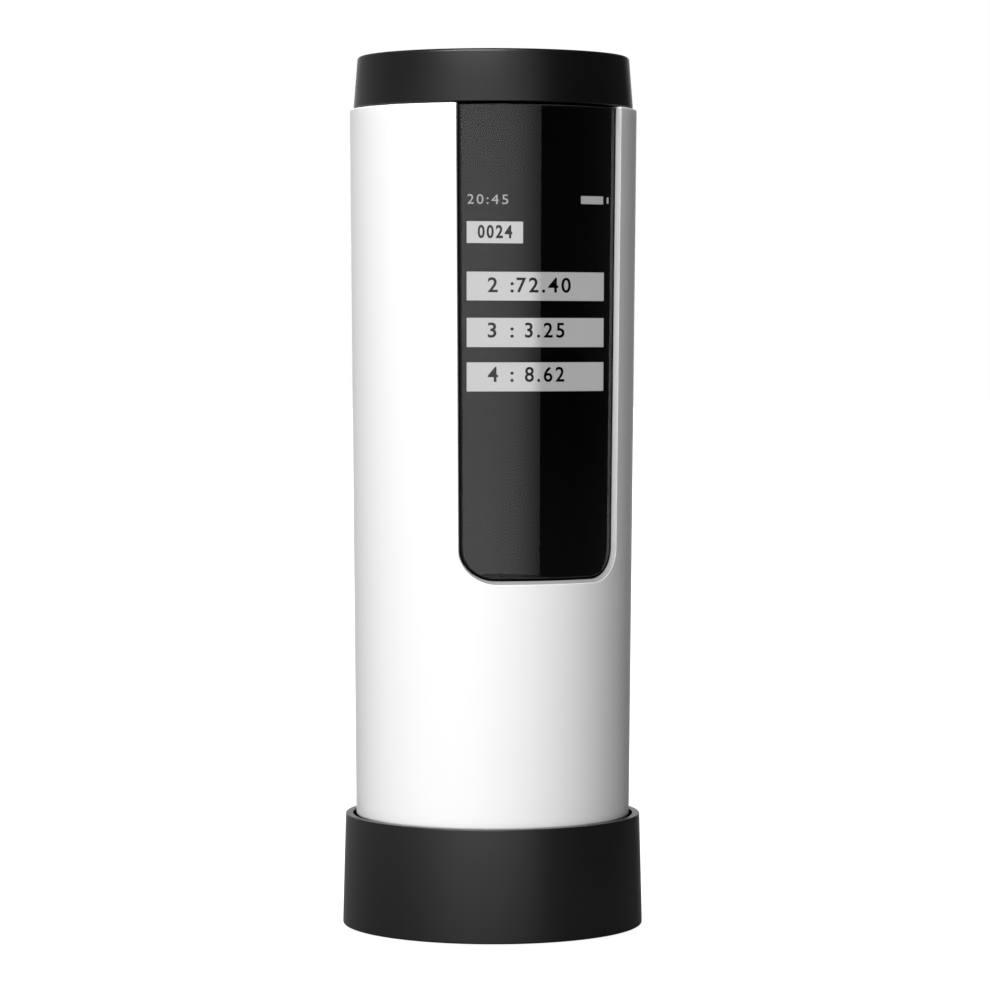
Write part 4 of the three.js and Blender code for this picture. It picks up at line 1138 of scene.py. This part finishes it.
@dataclass
class Studio:
    """Floor, world, lamps and camera, in the object's frame. Azimuths count from the camera's."""

    camera_azimuth: float = -23.5
    camera_distance: float = 463.5
    camera_height: float = 71.3
    camera_offset: float = 0.252
    pitch: float = 2.3946
    roll: float = 0.054
    focal_pixels: float = 3830.68
    frame_pixels: float = 990.0
    sensor: float = 36.0
    clip: Span = (0.01, 20.0)
    lamp_distance: float = 560.0
    lamp_foot: float = -30.0
    lamp_head: float = 820.0
    lamp_peak: float = 1.6
    lamp_edges: tuple[Span, ...] = (
        (-158.0, 0.23), (-130.0, 0.25), (-110.0, 0.22), (-92.0, 0.22), (-70.0, 0.30),
        (-55.0, 0.42), (-44.0, 0.58), (-32.0, 0.88), (-24.0, 1.0), (-6.0, 0.97), (6.0, 0.9),
        (16.6, 0.8), (26.6, 0.59), (35.6, 0.34), (39.9, 0.26),
    )
    lamp_span: Span = (0.16, 0.26)
    lamp_least: float = 0.56
    box_distance: float = 1000.0
    box_size: Span = (800.0, 600.0)
    key_lamp: Triple = (-20.5, 52.0, 8.1)
    back_lamp: Triple = (180.0, 48.0, 2.2)
    room_level: float = 0.03
    side_level: float = 0.05
    side_span: Span = (-0.35, 0.5)
    behind_span: Span = (0.9, 0.96)
    floor_half: float = 3000.0
    floor_colour: float = 0.1
    floor_roughness: float = 0.25
    floor_near: float = 0.92
    floor_reach: Span = (80.0, 500.0)
    floor_points: int = 9

    def _toward(self, azimuth: float, elevation: float = 0.0) -> Grid:
        """Gives the direction from the object at an azimuth and an elevation, in degrees."""
        turn, tilt = math.radians(self.camera_azimuth + azimuth), math.radians(elevation)
        level = np.array([math.sin(turn), -math.cos(turn), 0.0])
        return level * math.cos(tilt) + np.array([0.0, 0.0, math.sin(tilt)])

    def camera(self) -> None:
        """Makes the camera at the photograph's viewing angle."""
        data = bpy.data.cameras.new("camera")
        data.sensor_width = self.sensor
        data.lens = self.sensor * self.focal_pixels / self.frame_pixels
        data.clip_start, data.clip_end = self.clip
        place = self._toward(0.0) * self.camera_distance + self._toward(90.0) * self.camera_offset
        place[2] = self.camera_height
        camera = linked("camera", data)
        camera.location = Vector(place * MM)
        turn = Matrix.Identity(3)
        for angle, axis in ((self.camera_azimuth, "Z"), (90.0 - self.pitch, "X"), (self.roll, "Z")):
            turn = turn @ Matrix.Rotation(math.radians(angle), 3, axis)
        camera.rotation_euler = turn.to_euler()
        bpy.context.scene.camera = camera

    @staticmethod
    def _lamp(name: str, place: Grid, inward: Sequence[float], size: Span, level: float) -> Piece:
        """Hangs a flat lamp that is turned to the object.

        Args:
            name: Name of the lamp.
            place: Its middle.
            inward: Direction that it shines in.
            size: Its width and height.
            level: Its radiance.

        Returns:
            The lamp.
        """
        data = bpy.data.lights.new(name, "AREA")
        data.shape = "RECTANGLE"
        data.size, data.size_y = (side * MM for side in size)
        data.energy = math.pi * data.size * data.size_y * level
        lamp = linked(name, data)
        lamp.location = Vector(place * MM)
        lamp.rotation_mode = "QUATERNION"
        lamp.rotation_quaternion = Vector(inward).to_track_quat("-Z", "Y")
        return lamp

    def panels(self) -> int:
        """Hangs one tall soft lamp in narrow panels round the object, from left to right.

        Each panel's light changes evenly from its left edge to its right one, so that together
        they are one lamp that ends in a hard edge on the right. It is brightest near the table.

        Returns:
            How many panels were made.
        """
        height, middle = self.lamp_head - self.lamp_foot, 0.5 * (self.lamp_foot + self.lamp_head)
        for number, (start, end) in enumerate(zip(self.lamp_edges[:-1], self.lamp_edges[1:])):
            near, far = (self._toward(edge[0]) * self.lamp_distance for edge in (start, end))
            centre = 0.5 * (near + far) + np.array([0.0, 0.0, middle])
            size = (float(np.linalg.norm(far - near)), height)
            lamp = self._lamp(f"lamp_{number}", centre, (-centre[0], -centre[1], 0.0), size,
                              self.lamp_peak)
            graph = Graph(lamp.data)
            spot = graph.add("NewGeometry", "Parametric", {})
            across, up = (graph.axis(spot, name) for name in "XY")
            fade = graph.mapped(across, (start[1], end[1]))
            fall = graph.mapped(up, (1.0, self.lamp_least), self.lamp_span, "SMOOTHSTEP")
            graph.shade({"Strength": graph.maths("MULTIPLY", fade, fall)})
        return len(self.lamp_edges) - 1

    def soft_boxes(self) -> int:
        """Hangs the key lamp on the left, which whitens the shell, and a weak one behind.

        The one behind doesn't show in mirrors, so that the black pieces keep their quiet backs.

        Returns:
            How many were made.
        """
        lamps = []
        for name, (azimuth, elevation, level) in (("key_lamp", self.key_lamp),
                                                  ("back_lamp", self.back_lamp)):
            away = self._toward(azimuth, elevation)
            lamps.append(self._lamp(name, away * self.box_distance, -away, self.box_size, level))
        lamps[-1].visible_glossy = False
        return len(lamps)

    @staticmethod
    def _ray(graph: Graph, kind: str) -> Socket:
        """Gives one for a ray of a kind: Camera, Glossy or Transmission."""
        return graph.add("LightPath", f"Is {kind} Ray", {})

    def _seen(self, graph: Graph) -> Socket:
        """Gives one for a ray that comes from the camera, a mirror or through glass."""
        total = self._ray(graph, "Camera")
        for kind in ("Glossy", "Transmission"):
            total = graph.maths("MAXIMUM", total, self._ray(graph, kind))
        return total

    def _behind(self, graph: Graph, direction: Socket, values: Span, span: Span) -> Socket:
        """Leads a number from one value to another as a direction turns to behind the object.

        Args:
            graph: Graph that the nodes go in.
            direction: Socket of the direction, of length one.
            values: Values before and after.
            span: Cosines of the angle to straight behind between which it changes.

        Returns:
            The number's socket.
        """
        away = {0: direction, 1: Vector(-self._toward(0.0))}
        turn = graph.add("VectorMath", "Value", away, "DOT_PRODUCT")
        return graph.mapped(turn, values, span, "SMOOTHSTEP")

    def world(self) -> None:
        """Makes the room: white behind the object, dim elsewhere, and white to the camera."""
        world = bpy.data.worlds.new("room")
        bpy.context.scene.world = world
        graph = Graph(world)
        direction = graph.add("TexCoord", "Generated", {})
        levels = (self.room_level, self.side_level)
        room = self._behind(graph, direction, levels, self.side_span)
        behind = self._behind(graph, direction, (0.0, 1.0), self.behind_span)
        seen = graph.maths("MULTIPLY", behind, self._seen(graph))
        white = graph.maths("MAXIMUM", seen, self._ray(graph, "Camera"))
        graph.shade({"Color": WHITE, "Strength": graph.mixed(white, room, 1.0, "FLOAT")})

    def floor(self) -> None:
        """Lays the floor, which shows white and keeps the object's shadow.

        The lamps light a dark paint, and a white shows to the camera, in mirrors and through
        glass. Near the object that white is a little lower, and in mirrors it starts behind it.
        """
        side = np.linspace(-self.floor_half, self.floor_half, self.floor_points)
        graph = Graph(bpy.data.materials.new("floor_paint"))
        place = graph.place()
        length = graph.add("VectorMath", "Value", {0: place}, "LENGTH")
        outward = graph.add("VectorMath", "Vector", {0: place}, "NORMALIZE")
        near = graph.mapped(length, (self.floor_near, 1.0),
                            [distance * MM for distance in self.floor_reach], "SMOOTHSTEP")
        mirrored = self._behind(graph, outward, (0.0, 1.0), self.behind_span)
        white = graph.mixed(self._ray(graph, "Camera"), mirrored, near, "FLOAT")
        shown = graph.maths("MULTIPLY", white, self._seen(graph))
        paint = graph.shade({"Base Color": (self.floor_colour,) * 3 + (1.0,),
                             "Roughness": self.floor_roughness, "Emission Color": WHITE,
                             "Emission Strength": shown})
        piece = Skin("floor").add(joined(side, side[:, None], 0.0)).build(paint)
        faced(piece.data, (0.0, 0.0, 1.0))


def main() -> None:
    """Builds the studio and every sub-assembly, and reports each piece."""
    logging.basicConfig(level=logging.INFO, format="%(message)s")
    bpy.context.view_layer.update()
    bpy.context.scene.view_settings.view_transform = "Standard"
    studio = Studio()
    studio.camera()
    studio.world()
    studio.floor()
    log.info("studio: %d lamp panels and %d soft boxes", studio.panels(), studio.soft_boxes())
    dyer, tube, opening = Dyer(), Tube(), Opening()
    log.info("dressed %d nodes", CarriedNodes(dyer).dress(frame["nodes"]))
    made: dict[Body, list[Piece]] = {
        Body.INSTRUMENT: [OuterShell(dyer, tube, opening).build(),
                          DisplayWindow(dyer, tube, opening).build(),
                          *Display(dyer).build(), TopCap(dyer).build()],
        Body.BUTTON: [MeasureButton(dyer).build(), ButtonSpring(dyer).build()],
        Body.BASE: CalibrationCup(dyer).build(),
    }
    for body, pieces in made.items():
        for piece in pieces:
            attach(piece, body.value)
            log.info("%s: %d faces on %s", piece.name, len(piece.data.polygons), body.value)


if __name__ == "__main__":
    main()
